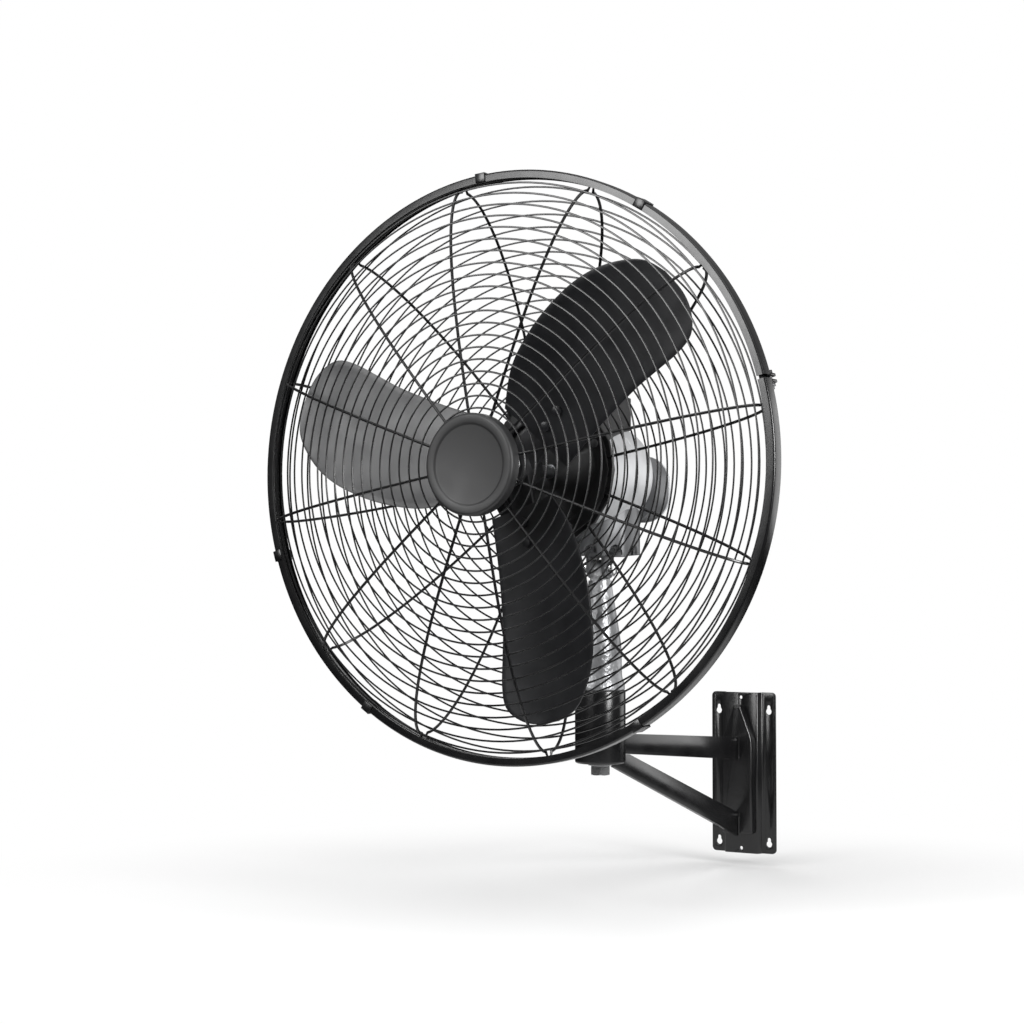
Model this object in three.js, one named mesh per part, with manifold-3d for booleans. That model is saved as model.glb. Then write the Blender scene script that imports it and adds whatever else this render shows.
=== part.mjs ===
// Wall mounted fan: a three-blade head in a domed wire cage, on an oscillating gear
// case, a tilting yoke and a cast neck, held off the wall by a welded steel bracket.
// Millimetres, +Z up. The origin is the middle of the wall plate's back, the wall is
// the plane y = 0, and the air leaves towards -Y.
import * as THREE from 'three';
import { mergeVertices } from 'three/addons/utils/BufferGeometryUtils.js';
import Module from 'manifold-3d';

const wasm = await Module();
wasm.setup();

// ---------------------------------------------------------------- driving sizes
const GAP = 0.3; // between pieces that rest on each other or seat in each other
const SHEET = 3; // pressed steel of the wall plate and its spine
const BITE = 1; // how far shapes that are joined run into each other
const CLEAR = 60; // how far a cutting tool runs past what it cuts
// How many flat sides stand for a round of this size.
const SIDES = { large: 16, middle: 12, small: 8, screw: 6, corner: 3 };

const PLATE = { height: 225, width: 98, flange: 21, rise: 9, bend: 4, outerBend: 1, corner: 6 };
const SLOT = { inset: 10.5, top: 86, bottom: -99, head: 4.6, shank: 2.9, travel: 6 };
const PLATE_HOLE = { radius: 2.5, fromEdge: 7 };
const SPINE = { width: 46, depth: 14, bottom: -84, shoulder: 50, top: 95, tip: 12 };

const ARM = { thickness: 6, collarHeight: 25, plateHeight: 31 };
const UPPER_ARM = { atCollar: 64.6, atPlate: 35 };
const LOWER_ARM = { atCollar: 48.5, atPlate: -70.7 };

const NECK_REACH = 414; // wall to the vertical line of collar, neck and spindle
const COLLAR = { radius: 31.5, wall: 4.5, bottom: 42, height: 90.6, floor: 5, round: 3 };
const COLLAR_BOLT = { shank: 8, head: 13.3, headHeight: 11.5, length: 34 };
const WASHER = { radius: 15, thickness: 2.5 };
const NECK = { lip: 30.7, lipHeight: 8, waist: 27, throat: 14.5, underBolt: 14.3, boltRoom: 4 };
const NECK_TAPER = [[27, 0.24], [26, 0.42], [20.3, 0.7], [14.5, 0.96]]; // radius, share of height

const TILT = { eye: 12, tongue: 16, cheek: 5, bolt: 5, bridge: 15, bridgeThickness: 6 };
const TILT_BOLT = { head: 9.2, headHeight: 6.4, nutHeight: 8, past: 12 };
const SPINDLE = { radius: 8, shoulder: 8.2, journal: 6.5, height: 26.5, bushWall: 2.5 };
const EAR_PIN = { radius: 3, height: 2.2 };

const AXIS_HEIGHT = 399.3; // blade axis above the plate's middle
const TILT_DROP = 116.3; // tilt bolt below the blade axis
const RIM_REACH = 636; // wall to the middle plane of the cage's hoop

const HOOP = { radius: 345, width: 18, lip: 9.5, sheet: 1.6, sides: 32, gap: 4, jointAt: 15 };
const LUG = { thickness: 3, reach: 15, height: 11 };
const HOOP_SCREW = { shank: 2.5, head: 4.4, headHeight: 3.4, nutHeight: 4, past: 7 };
const CLIP = { angles: [58, 95, 197, 236, 301], length: 13, sheet: 1.2 };

const WIRE = { ring: 2.8, rib: 4, rim: 3.4 }; // sides of the wires' three-sided sections
const RIBS = { count: 12, first: 10 };
const RING_PITCH = 22; // along the dome's curve
const ROUND_FROM = 215; // rings larger than this have a corner midway between the ribs
const SEAT = { radius: 337.4, offset: 3.6 }; // where the guards' rims lie in the hoop
const FRONT_DOME = { inner: 51, outer: 331.5, start: 6.5, depth: 57.5, flat: 3.5, round: 1.8 };
const REAR_DOME = { inner: 81, outer: 331.5, start: 6.5, depth: 90.5, flat: 2.9, round: 1.7 };
const CAP = { radius: 58.5, face: 46, depth: 15, sheet: 1.6, roll: 4, stud: 4 };
const BACKPLATE = { radius: 56, thickness: 2, nut: 7, nutHeight: 5 };

const SHIELD = { radius: 88, thickness: 5, bore: 9, register: 4 };
const CLAMP_RING = { inner: 67, outer: 84, thickness: 2.4 };
const CLAMP_SCREW = { count: 4, first: 25, orbit: 73.5, shank: 2.4, head: 5, headHeight: 3 };
const SHELL = { radius: 64, wall: 4, length: 148, round: 10, bore: 9 };
const BEARING = { outer: 17.5, inner: 7.5, width: 11 };
const SHAFT = { radius: 7.2, front: -24, worm: 6.5 };
const CORE = { ahead: 124.1, length: 70, stator: 59.4, bore: 36.5, rotor: 35.4 };
const WINDING = { inner: 41, outer: 56, length: 12 };

const HOOD = { halfFront: 63, halfRear: 26, past: 10.9, top: 98, skirtFront: 19, skirtRear: 61 };
const HOOD_FORM = { wall: 3, corner: 14, brow: 20, rearRise: 4 };
const CAPACITOR = { radius: 14, length: 66, behind: 30 };

const CASE = { halfWidth: 62, top: 27, bottom: -57, round: 34, depth: 36.6, cover: 14, taper: 9 };
const SKIRT = { radius: 50, rearRadius: 33, wall: 4, bottom: -99, roof: -82, boss: 13 };
const ARCH = { halfWidth: 9, top: -86, angles: [-150, -112.5, -75, -37.5, 0, 37.5] };
const COVER_GAP = 0.5; // over the crank, under the case
const POCKET = { wall: 5, halfWidth: 44, halfHeight: 20, round: 10 };
const WHEEL = { side: -22, behind: 20.9, teeth: 14, outer: 14.6, root: 12.2, width: 11, shaft: 5 };
const CRANK = { ear: 26, disc: 23.4, thickness: 5.4, pin: 3.2 };
const LINK = { thickness: 4, eye: 5.6, bar: 4.4 };
const KNOB = { stem: 4, head: 10, height: 14, boss: 8.5, seat: 5 };

const BLADE = { phase: 45.5, sheet: 2, rows: 11, columns: 4, base: 13, cone: 0.1, camber: 7 };
const BOW_WIDTH = 80; // half the width over which the camber falls away
const BLADE_PITCH = { root: 14, tip: 9 };
// The blades' edges: out along the blade, and across it.
const TRAILING = [[48, 50], [95, 72], [150, 79], [203, 75], [242, 64], [273, 45], [293, 23], [300, -4]];
const LEADING = [[48, -48], [110, -51], [171, -58], [208, -66], [244, -74], [269, -73], [287, -57],
  [297, -34], [300, -4]];
const HUB = { radius: 21, length: 46, ahead: 10, arm: 34, armReach: 104, armSheet: 4, corner: 8, rim: 2 };
const BLADE_SCREW = { stations: [66, 90], shank: 2.6, head: 6, headHeight: 3, stand: 1.1 };
const HUB_NUT = { corner: 13, height: 10 };
const SWING = 45; // the head's swing to each side, in degrees

// ---------------------------------------------------------------- places derived from them
const collarTop = COLLAR.bottom + COLLAR.height;
const webFront = PLATE.rise + SHEET;
const spineFront = webFront + GAP + SPINE.depth;
const neckBehindRim = RIM_REACH - NECK_REACH;
const tiltHeight = AXIS_HEIGHT - TILT_DROP;
const yokeTop = tiltHeight + TILT.bridge + TILT.bridgeThickness;
const yokeTopInHead = yokeTop - AXIS_HEIGHT;
const shieldFront = domeHeight(REAR_DOME, REAR_DOME.inner) + WIRE.ring / 2 + GAP;
const shellStart = shieldFront + SHIELD.thickness + GAP;
const shellEnd = shellStart + SHELL.length;
const coreStart = shellEnd - CORE.ahead;
const hoodRear = shellEnd + HOOD.past;
const caseFront = shellEnd + GAP;
const caseRear = caseFront + CASE.depth;
const frontBearingStart = shieldFront + BITE;
const rearBearingStart = shellEnd - BEARING.width - 2;
const spindleShoulder = yokeTopInHead + SPINDLE.shoulder;
const crankThrow = CRANK.ear * Math.sin(THREE.MathUtils.degToRad(SWING));
const spindlePlace = [0, neckBehindRim];
const wheelPlace = [WHEEL.side, shellEnd + WHEEL.behind];
// The ear stands square to the line from the spindle to the crank, and the pin with it.
const earAngle = Math.atan2(wheelPlace[1] - neckBehindRim, WHEEL.side) - Math.PI / 2;
const reach = ([x, y], length) => [x + length * Math.cos(earAngle), y + length * Math.sin(earAngle)];
const earPin = reach(spindlePlace, CRANK.ear);
const crankPin = reach(wheelPlace, crankThrow);
const crankTop = SKIRT.roof - COVER_GAP;
const crankBottom = crankTop - CRANK.thickness;
const linkTop = crankBottom - GAP;

/** How far a guard's wires stand off the hoop's middle plane at a radius. */
function domeHeight({ outer, start, depth, flat, round }, radius) {
  return start + depth * (1 - (radius / outer) ** flat) ** (1 / round);
}

// ---------------------------------------------------------------- finishes
const finish = (color, roughness, metalness) =>
  new THREE.MeshStandardMaterial({ color, roughness, metalness });
const blackPaint = () => finish(0x242527, 0.45, 0.3);
const blackGloss = () => finish(0x1b1c1e, 0.3, 0.3);
const bladePaint = () => finish(0x3a3b3e, 0.38, 0.35);
const castSilver = () => finish(0x8d9094, 0.5, 0.7);
const zinc = () => finish(0xb9bcc0, 0.3, 0.9);
const steel = () => finish(0x85888c, 0.4, 0.9);
const copper = () => finish(0xa4643a, 0.4, 0.8);
const brass = () => finish(0xb08a45, 0.4, 0.8);
const blackPlastic = () => finish(0x17181a, 0.55, 0);

// ---------------------------------------------------------------- solids
const rad = THREE.MathUtils.degToRad;
const WELD = 1e-4;

/** A closed mesh with shared vertices, no flat triangles, and its faces pointing out. */
function weld(geometry) {
  const bare = geometry.clone();
  bare.deleteAttribute('normal');
  bare.deleteAttribute('uv');
  const merged = mergeVertices(bare, WELD);
  const place = merged.getAttribute('position');
  const index = merged.getIndex().array;
  const corner = [new THREE.Vector3(), new THREE.Vector3(), new THREE.Vector3()];
  const kept = [];
  let volume = 0;
  for (let i = 0; i < index.length; i += 3) {
    const [a, b, c] = [index[i], index[i + 1], index[i + 2]];
    if (a === b || b === c || c === a) continue;
    kept.push(a, b, c);
    corner.forEach((v, k) => v.fromBufferAttribute(place, index[i + k]));
    volume += corner[0].dot(corner[1].cross(corner[2]));
  }
  if (volume < 0) kept.reverse();
  merged.setIndex(kept);
  return merged;
}

/** A solid made from a closed mesh. */
function solid(geometry) {
  const closed = weld(geometry);
  return new wasm.Manifold(new wasm.Mesh({
    numProp: 3,
    vertProperties: Float32Array.from(closed.getAttribute('position').array),
    triVerts: Uint32Array.from(closed.getIndex().array),
  }));
}

const join = (first, ...rest) => rest.reduce((sum, next) => sum.add(next), first);
const cut = (first, ...rest) => rest.reduce((sum, next) => sum.subtract(next), first);

/** Turns a shape built along +Z, or along a lathe's +Y, onto another axis. */
const FROM_Z = {
  x: (g) => g.rotateX(Math.PI / 2).rotateZ(Math.PI / 2),
  y: (g) => g.rotateX(Math.PI / 2),
  z: (g) => g,
};
const FROM_Y = {
  x: (g) => g.rotateZ(-Math.PI / 2),
  y: (g) => g,
  z: (g) => g.rotateX(Math.PI / 2),
};

/** A round bar on an axis, between two stations along it. */
function rod(axis, radius, from, to, sides = SIDES.middle) {
  const bar = new THREE.CylinderGeometry(radius, radius, to - from, sides);
  return solid(FROM_Y[axis](bar.translate(0, (from + to) / 2, 0)));
}

/** A turned piece: [radius, station] pairs that start and end on the axis or close. */
function turned(axis, profile, sides = SIDES.large) {
  const points = profile.map(([r, h]) => new THREE.Vector2(r, h));
  return solid(FROM_Y[axis](new THREE.LatheGeometry(points, sides)));
}

/** A washer, tube or ring: a turned rectangle that doesn't reach the axis. */
function ring(axis, inner, outer, from, to, sides = SIDES.large) {
  const section = [[inner, from], [outer, from], [outer, to], [inner, to], [inner, from]];
  return turned(axis, section, sides);
}

/** An outline with straight sides. Its plane is (y, z) for x, (x, z) for y, (x, y) for z. */
const outline = (points) => new THREE.Shape(points.map(([u, v]) => new THREE.Vector2(u, v)));

/** A prism: an outline carried along an axis between two stations. */
function prism(axis, shape, from, to, curveSegments = SIDES.corner) {
  const form = { depth: to - from, bevelEnabled: false, curveSegments };
  const bar = new THREE.ExtrudeGeometry(shape, form);
  FROM_Z[axis](bar);
  const start = { x: [from, 0, 0], y: [0, to, 0], z: [0, 0, from] }[axis];
  return solid(bar.translate(...start));
}

/** A rectangle with round corners, given by its middle, half sides and corner radius. */
function roundedRectangle(cu, cv, hu, hv, r) {
  const shape = new THREE.Shape();
  shape.moveTo(cu - hu + r, cv - hv);
  shape.absarc(cu + hu - r, cv - hv + r, r, -Math.PI / 2, 0);
  shape.absarc(cu + hu - r, cv + hv - r, r, 0, Math.PI / 2);
  shape.absarc(cu - hu + r, cv + hv - r, r, Math.PI / 2, Math.PI);
  shape.absarc(cu - hu + r, cv - hv + r, r, Math.PI, Math.PI * 1.5);
  return shape;
}

/** A bar with round ends between two points of a plane. */
function slotShape([u0, v0], [u1, v1], r0, r1 = r0) {
  const along = Math.atan2(v1 - v0, u1 - u0);
  const shape = new THREE.Shape();
  shape.absarc(u0, v0, r0, along + Math.PI / 2, along + Math.PI * 1.5);
  shape.absarc(u1, v1, r1, along - Math.PI / 2, along + Math.PI / 2);
  return shape;
}

/** A six-sided nut or bolt head on an axis. */
const hexagon = (axis, corner, from, to) => rod(axis, corner, from, to, 6);

/** A hole's cutting tool on an axis, through the piece both ways. */
const drill = (axis, radius, sides = SIDES.middle) => rod(axis, radius + GAP, -CLEAR, CLEAR, sides);

/** The same for a rod that turns in its hole: the hole's flats clear the rod's corners. */
const turningBore = (axis, radius, sides) =>
  rod(axis, (radius + GAP) / Math.cos(Math.PI / sides), -CLEAR, CLEAR, sides);

/** The named mesh of a solid or of a closed geometry. */
function piece(name, body, material) {
  let geometry = body;
  if (body instanceof wasm.Manifold) {
    const { vertProperties, triVerts } = body.getMesh();
    geometry = new THREE.BufferGeometry();
    geometry.setAttribute('position', new THREE.BufferAttribute(vertProperties, 3));
    geometry.setIndex(new THREE.BufferAttribute(triVerts, 1));
  }
  geometry.computeVertexNormals();
  const mesh = new THREE.Mesh(geometry, material);
  mesh.name = name;
  return mesh;
}

/** A group with its pieces, set at a place. */
function assembly(place, ...pieces) {
  const group = new THREE.Group();
  group.position.set(...place);
  group.add(...pieces);
  return group;
}

// ---------------------------------------------------------------- wall bracket
/** The wall plate: a shallow hat section with keyhole slots in its flanges. */
function wallPlate() {
  const half = PLATE.width / 2;
  const foot = half - PLATE.flange;
  const web = foot - PLATE.bend;
  const back = [[half, 0], [foot, 0], [web, -PLATE.rise], [-web, -PLATE.rise], [-foot, 0], [-half, 0]];
  const { outerBend } = PLATE;
  const front = [[-half, -SHEET], [-foot - outerBend, -SHEET], [-web - outerBend, -webFront],
    [web + outerBend, -webFront], [foot + outerBend, -SHEET], [half, -SHEET]];
  const section = prism('z', outline([...back, ...front]), -PLATE.height / 2, PLATE.height / 2);
  const edge = prism('y', roundedRectangle(0, 0, half, PLATE.height / 2, PLATE.corner), -CLEAR, CLEAR);
  const cuts = [];
  for (const side of [-1, 1]) {
    for (const height of [SLOT.top, SLOT.bottom]) {
      const u = side * (half - SLOT.inset);
      const keyhole = slotShape([u, height], [u, height + SLOT.travel], SLOT.head, SLOT.shank);
      cuts.push(prism('y', keyhole, -CLEAR, CLEAR));
    }
    const v = side * (PLATE.height / 2 - PLATE_HOLE.fromEdge);
    cuts.push(rod('y', PLATE_HOLE.radius, -CLEAR, CLEAR, SIDES.small).translate([0, 0, v]));
  }
  return piece('wall_plate', cut(section.intersect(edge), ...cuts), blackPaint());
}

/** The outline of the spine's front, drawn in by an inset all round. */
function spineOutline(inset) {
  const half = SPINE.width / 2 - inset;
  const tip = SPINE.tip / 2 - inset / 2;
  return outline([[-half, SPINE.bottom + inset], [half, SPINE.bottom + inset], [half, SPINE.shoulder],
    [tip, SPINE.top - inset], [-tip, SPINE.top - inset], [-half, SPINE.shoulder]]);
}

/** The spine: a pressed cover on the plate's web that carries both arms. */
function plateSpine() {
  const back = -webFront - GAP;
  const cover = prism('y', spineOutline(0), -spineFront, back);
  const inside = prism('y', spineOutline(SHEET), -spineFront + SHEET, back + BITE);
  return piece('plate_spine', cut(cover, inside), blackPaint());
}

const collarEnd = -NECK_REACH + COLLAR.radius - 2;
const plateEnd = -spineFront - GAP;

/** Height on an arm's edge at a distance from the wall; edge is 1 for top, -1 for bottom. */
function armEdge(arm, y, edge) {
  const t = (y - collarEnd) / (plateEnd - collarEnd);
  const middle = THREE.MathUtils.lerp(arm.atCollar, arm.atPlate, t);
  const slope = (arm.atPlate - arm.atCollar) / (plateEnd - collarEnd);
  const height = THREE.MathUtils.lerp(ARM.collarHeight, ARM.plateHeight, t) * Math.hypot(1, slope);
  return middle + edge * height / 2;
}

/** An arm: a flat bar on edge that deepens towards the wall, cut round to the collar. */
function arm(name, sizes, ...trims) {
  const points = [[collarEnd, -1], [plateEnd, -1], [plateEnd, 1], [collarEnd, 1]]
    .map(([y, edge]) => [y, armEdge(sizes, y, edge)]);
  const bar = prism('x', outline(points), -ARM.thickness / 2, ARM.thickness / 2);
  const collar = rod('z', COLLAR.radius + GAP, -PLATE.height, PLATE.height, SIDES.large)
    .translate([0, -NECK_REACH, 0]);
  return piece(name, cut(bar, collar, ...trims), blackPaint());
}

/** What the upper arm and the air above it take away from the lower arm's end. */
function mitre() {
  const low = [collarEnd - CLEAR, plateEnd].map((y) => [y, armEdge(UPPER_ARM, y, -1) - GAP]);
  const high = low.map(([y, z]) => [y, z + PLATE.height]).reverse();
  return prism('x', outline([...low, ...high]), -ARM.thickness, ARM.thickness);
}

/** The collar that the neck stands in, with a floor for its bolt. */
function mountingCollar() {
  const { radius, wall, bottom, floor, round } = COLLAR;
  const hole = COLLAR_BOLT.shank + GAP;
  return piece('mounting_collar', turned('z', [[hole, bottom], [radius - round, bottom],
    [radius, bottom + round], [radius, collarTop], [radius - wall, collarTop],
    [radius - wall, bottom + floor], [hole, bottom + floor], [hole, bottom]]), blackGloss());
}

function collarBolt() {
  const seat = COLLAR.bottom - WASHER.thickness - 2 * GAP;
  return piece('collar_bolt', join(
    hexagon('z', COLLAR_BOLT.head, seat - COLLAR_BOLT.headHeight, seat),
    rod('z', COLLAR_BOLT.shank, seat - BITE, seat + COLLAR_BOLT.length, SIDES.large)), zinc());
}

function collarWasher() {
  const top = COLLAR.bottom - GAP;
  return piece('collar_washer',
    ring('z', COLLAR_BOLT.shank + GAP, WASHER.radius, top - WASHER.thickness, top), zinc());
}

/** The cast neck: a spigot in the collar, a taper, and a tongue for the tilt bolt. */
function neckPost() {
  const spigot = COLLAR.radius - COLLAR.wall - GAP;
  const foot = COLLAR.bottom + COLLAR.floor + GAP;
  const lip = collarTop + GAP;
  const bolt = COLLAR_BOLT.shank + GAP;
  const boreTop = COLLAR.bottom + COLLAR_BOLT.length + NECK.boltRoom;
  const at = (share) => lip + (tiltHeight - NECK.underBolt - lip) * share;
  const body = turned('z', [[0, boreTop], [bolt, boreTop], [bolt, foot], [spigot, foot], [spigot, lip],
    [NECK.lip, lip], [NECK.lip, lip + NECK.lipHeight], [NECK.waist, lip + 2 * NECK.lipHeight],
    ...NECK_TAPER.map(([radius, share]) => [radius, at(share)]), [NECK.throat, at(1)], [0, at(1)]]);
  const half = TILT.tongue / 2;
  const tongue = prism('x', slotShape([0, -2 * TILT.eye], [0, 0], TILT.eye), -half, half);
  const hole = turningBore('x', TILT.bolt, SIDES.small);
  return piece('neck_post', join(body, tongue.translate([0, 0, tiltHeight]))
    .subtract(hole.translate([0, 0, tiltHeight])), castSilver());
}

// ---------------------------------------------------------------- tilting yoke
/** The yoke: two cheeks on the tilt bolt, a bridge for the spindle, and the link's ear and pin. */
function tiltYoke() {
  const inner = TILT.tongue / 2 + GAP;
  const outer = inner + TILT.cheek;
  const top = tiltHeight + TILT.bridge;
  const cheek = join(
    rod('x', TILT.eye, inner, outer).translate([0, 0, tiltHeight]),
    prism('x', outline([[-TILT.eye, tiltHeight], [TILT.eye, tiltHeight], [TILT.eye, top + BITE],
      [-TILT.eye, top + BITE]]), inner, outer));
  const bridge = prism('z', roundedRectangle(0, 0, outer, TILT.eye + 2, 4), top, yokeTop);
  const ear = prism('z', slotShape([0, 0], reach([0, 0], CRANK.ear), LINK.eye + BITE), top, yokeTop, 4);
  const pin = rod('z', EAR_PIN.radius, top + BITE, yokeTop + EAR_PIN.height, SIDES.small)
    .translate([...reach([0, 0], CRANK.ear), 0]);
  const bore = rod('z', SPINDLE.radius + GAP, top - CLEAR / 2, yokeTop + CLEAR);
  const bolt = drill('x', TILT.bolt, SIDES.small).translate([0, 0, tiltHeight]);
  const body = join(cheek, cheek.mirror([1, 0, 0]), bridge, ear, pin);
  return piece('tilt_yoke', cut(body, bore, bolt), castSilver());
}

const cheekOutside = TILT.tongue / 2 + GAP + TILT.cheek;

function tiltBolt() {
  const seat = cheekOutside + GAP;
  return piece('tilt_bolt', join(
    hexagon('x', TILT_BOLT.head, seat, seat + TILT_BOLT.headHeight),
    rod('x', TILT.bolt, -seat - TILT_BOLT.past, seat + BITE, SIDES.small))
    .translate([0, 0, tiltHeight]), zinc());
}

function tiltNut() {
  const seat = -cheekOutside - GAP;
  const blank = hexagon('x', TILT_BOLT.head, seat - TILT_BOLT.nutHeight, seat);
  const nut = cut(blank, drill('x', TILT.bolt, SIDES.small));
  return piece('tilt_nut', nut.translate([0, 0, tiltHeight]), zinc());
}

/** The upright spindle, set in the yoke's bridge: the head's bushing turns on its journal. */
function pivotSpindle() {
  const { radius, shoulder, journal, height } = SPINDLE;
  const low = tiltHeight + TILT.bridge - BITE;
  const body = turned('z', [[0, low], [radius, low], [radius, yokeTop + shoulder],
    [journal, yokeTop + shoulder], [journal, yokeTop + height], [0, yokeTop + height]], SIDES.middle);
  return piece('pivot_spindle', body, steel());
}

// ---------------------------------------------------------------- wire guards
/** Stations of a guard's rings on its dome, evenly spaced along the curve. */
function domeStations(dome, side) {
  const point = (t) => new THREE.Vector2(
    dome.outer * Math.sin(t) ** (2 / dome.flat),
    side * (dome.start + dome.depth * Math.cos(t) ** (2 / dome.round)));
  const first = Math.asin((dome.inner / dome.outer) ** (dome.flat / 2));
  const fine = 400;
  const walk = Array.from({ length: fine + 1 }, (_, i) =>
    point(THREE.MathUtils.lerp(first, Math.PI / 2, i / fine)));
  const length = [0];
  for (let i = 1; i <= fine; i += 1) length.push(length[i - 1] + walk[i].distanceTo(walk[i - 1]));
  const count = Math.round(length[fine] / RING_PITCH);
  const stations = [];
  for (let j = 0; j <= count; j += 1) {
    const i = length.findIndex((l) => l >= (length[fine] * j) / count - WELD);
    stations.push(walk[i]);
  }
  stations.push(new THREE.Vector2(SEAT.radius, side * SEAT.offset));
  return stations;
}

/**
 * A wire guard as one lattice: rings and ribs of three-sided wire that meet at shared
 * corners. Stations are (radius, y) from the middle to the rim; side is -1 in front.
 */
function wireGuard(name, dome, side) {
  const stations = domeStations(dome, side);
  const points = [];
  const faces = [];
  const add = (radius, y, angle) => {
    points.push(radius * Math.cos(angle), y, radius * Math.sin(angle));
    return points.length / 3 - 1;
  };
  const quad = (a, b, c, d) => faces.push(a, b, c, a, c, d);
  const step = (2 * Math.PI) / RIBS.count;

  const rows = stations.map((here, j) => {
    const before = stations[Math.max(j - 1, 0)];
    const after = stations[Math.min(j + 1, stations.length - 1)];
    const along = after.clone().sub(before).normalize();
    const outward = new THREE.Vector2(-side * along.y, side * along.x);
    const wire = j === stations.length - 1 ? WIRE.rim : WIRE.ring;
    const at = (slide, lift) => here.clone().addScaledVector(along, slide).addScaledVector(outward, lift);
    const low = at(-wire / 2, wire / 2);
    const high = at(wire / 2, wire / 2);
    const apex = at(0, -wire / 2);
    const row = [];
    for (let i = 0; i < RIBS.count; i += 1) {
      const angle = rad(RIBS.first) + i * step;
      const half = WIRE.rib / 2 / here.x;
      const corner = (a) => ({ low: add(low.x, low.y, a), high: add(high.x, high.y, a) });
      row.push({
        left: corner(angle - half),
        right: corner(angle + half),
        apex: add(apex.x, apex.y, angle),
        middle: here.x > ROUND_FROM
          && { ...corner(angle + step / 2), apex: add(apex.x, apex.y, angle + step / 2) },
      });
    }
    return row;
  });

  rows.forEach((row, j) => {
    row.forEach((rib, i) => {
      const next = row[(i + 1) % RIBS.count];
      quad(rib.left.low, rib.right.low, rib.right.high, rib.left.high);
      const stops = [{ ...rib.right, apex: rib.apex }, rib.middle, { ...next.left, apex: next.apex }]
        .filter(Boolean);
      for (let k = 1; k < stops.length; k += 1) {
        const [a, b] = [stops[k - 1], stops[k]];
        quad(a.low, b.low, b.high, a.high);
        quad(b.low, a.low, a.apex, b.apex);
        quad(a.high, b.high, b.apex, a.apex);
      }
      if (j === 0) faces.push(rib.right.low, rib.left.low, rib.apex);
      if (j === rows.length - 1) {
        faces.push(rib.left.high, rib.right.high, rib.apex);
        return;
      }
      const up = rows[j + 1][i];
      quad(rib.left.high, rib.right.high, up.right.low, up.left.low);
      quad(up.right.low, rib.right.high, rib.apex, up.apex);
      quad(rib.left.high, up.left.low, up.apex, rib.apex);
    });
  });
  const geometry = new THREE.BufferGeometry();
  geometry.setAttribute('position', new THREE.Float32BufferAttribute(points, 3));
  geometry.setIndex(faces);
  return piece(name, weld(geometry), blackPaint());
}

/** A solid turned from the +X direction to an angle round the blade axis. */
const atAngle = (body, angle) => body.rotate([0, -angle, 0]);

const lugOutside = HOOP.gap / 2 + LUG.thickness + GAP;
const screwPlace = [HOOP.radius - LUG.height / 2, HOOP.width / 2 + LUG.reach / 2, 0];

/** The hoop: a rolled channel open to the middle, split at its clamp lugs. */
function guardHoop() {
  const { radius, width, lip, sheet, sides, gap, jointAt } = HOOP;
  const half = width / 2;
  const channel = turned('y', [[radius - lip, -half], [radius, -half], [radius, half], [radius - lip, half],
    [radius - lip, half - sheet], [radius - sheet, half - sheet], [radius - sheet, -half + sheet],
    [radius - lip, -half + sheet], [radius - lip, -half]], sides);
  const inner = radius - LUG.height;
  const strip = (low, high, from, to) => outline([[low, from], [high, from], [high, to], [low, to]]);
  const outer = radius - sheet / 2;
  const lug = (side) => prism('y', strip(inner, outer, side * (gap / 2), side * (gap / 2 + LUG.thickness)),
    half - BITE, half + LUG.reach);
  const slit = prism('y', strip(inner - CLEAR, radius + CLEAR, -gap / 2, gap / 2), -CLEAR, CLEAR);
  const bore = drill('z', HOOP_SCREW.shank, SIDES.screw).translate(screwPlace);
  const turnedTo = (body) => atAngle(body, jointAt);
  return piece('guard_hoop', cut(join(channel, turnedTo(lug(1)), turnedTo(lug(-1))),
    turnedTo(slit), turnedTo(bore)), blackPaint());
}

function hoopScrew() {
  const { shank, head, headHeight, past } = HOOP_SCREW;
  const body = join(rod('z', head, lugOutside, lugOutside + headHeight, SIDES.small),
    rod('z', shank, -lugOutside - past, lugOutside + BITE, SIDES.screw));
  return piece('hoop_screw', atAngle(body.translate(screwPlace), HOOP.jointAt), zinc());
}

function hoopNut() {
  const blank = hexagon('z', HOOP_SCREW.head, -lugOutside - HOOP_SCREW.nutHeight, -lugOutside);
  const body = cut(blank, drill('z', HOOP_SCREW.shank, SIDES.screw));
  return piece('hoop_nut', atAngle(body.translate(screwPlace), HOOP.jointAt), zinc());
}

/** A clip bent over the hoop that keeps both guards' rims in it. */
function hoopClip(number) {
  const half = HOOP.width / 2 + GAP;
  const top = HOOP.radius + GAP;
  const low = HOOP.radius - HOOP.lip;
  const t = CLIP.sheet;
  const shape = outline([[low, -half - t], [top + t, -half - t], [top + t, half + t], [low, half + t],
    [low, half], [top, half], [top, -half], [low, -half]]);
  const body = prism('z', shape, -CLIP.length / 2, CLIP.length / 2);
  return piece(`hoop_clip_${number + 1}`, atAngle(body, CLIP.angles[number]), blackPaint());
}

const capSeat = -FRONT_DOME.start - FRONT_DOME.depth - WIRE.ring / 2 - GAP;
const backplateSeat = -domeHeight(FRONT_DOME, BACKPLATE.radius) + WIRE.ring / 2 + GAP;
const backplateEnd = backplateSeat + BACKPLATE.thickness;

/** The cap over the front guard's middle: a dished face, a rolled edge and a stud behind. */
function frontCap() {
  const { radius, face, depth, sheet, roll, stud } = CAP;
  const front = capSeat - depth;
  const dish = front + sheet;
  const studEnd = backplateEnd + BACKPLATE.nutHeight + 3 * BITE;
  return piece('front_cap', turned('y', [[0, dish], [face, dish], [face + 2, front],
    [radius - roll, front], [radius, front + roll], [radius, capSeat], [radius - sheet, capSeat],
    [radius - sheet, front + roll + 1], [radius - roll - 1, dish], [face + 2, dish],
    [face, dish + sheet], [stud, dish + sheet], [stud, studEnd], [0, studEnd]]), blackPaint());
}

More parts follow.
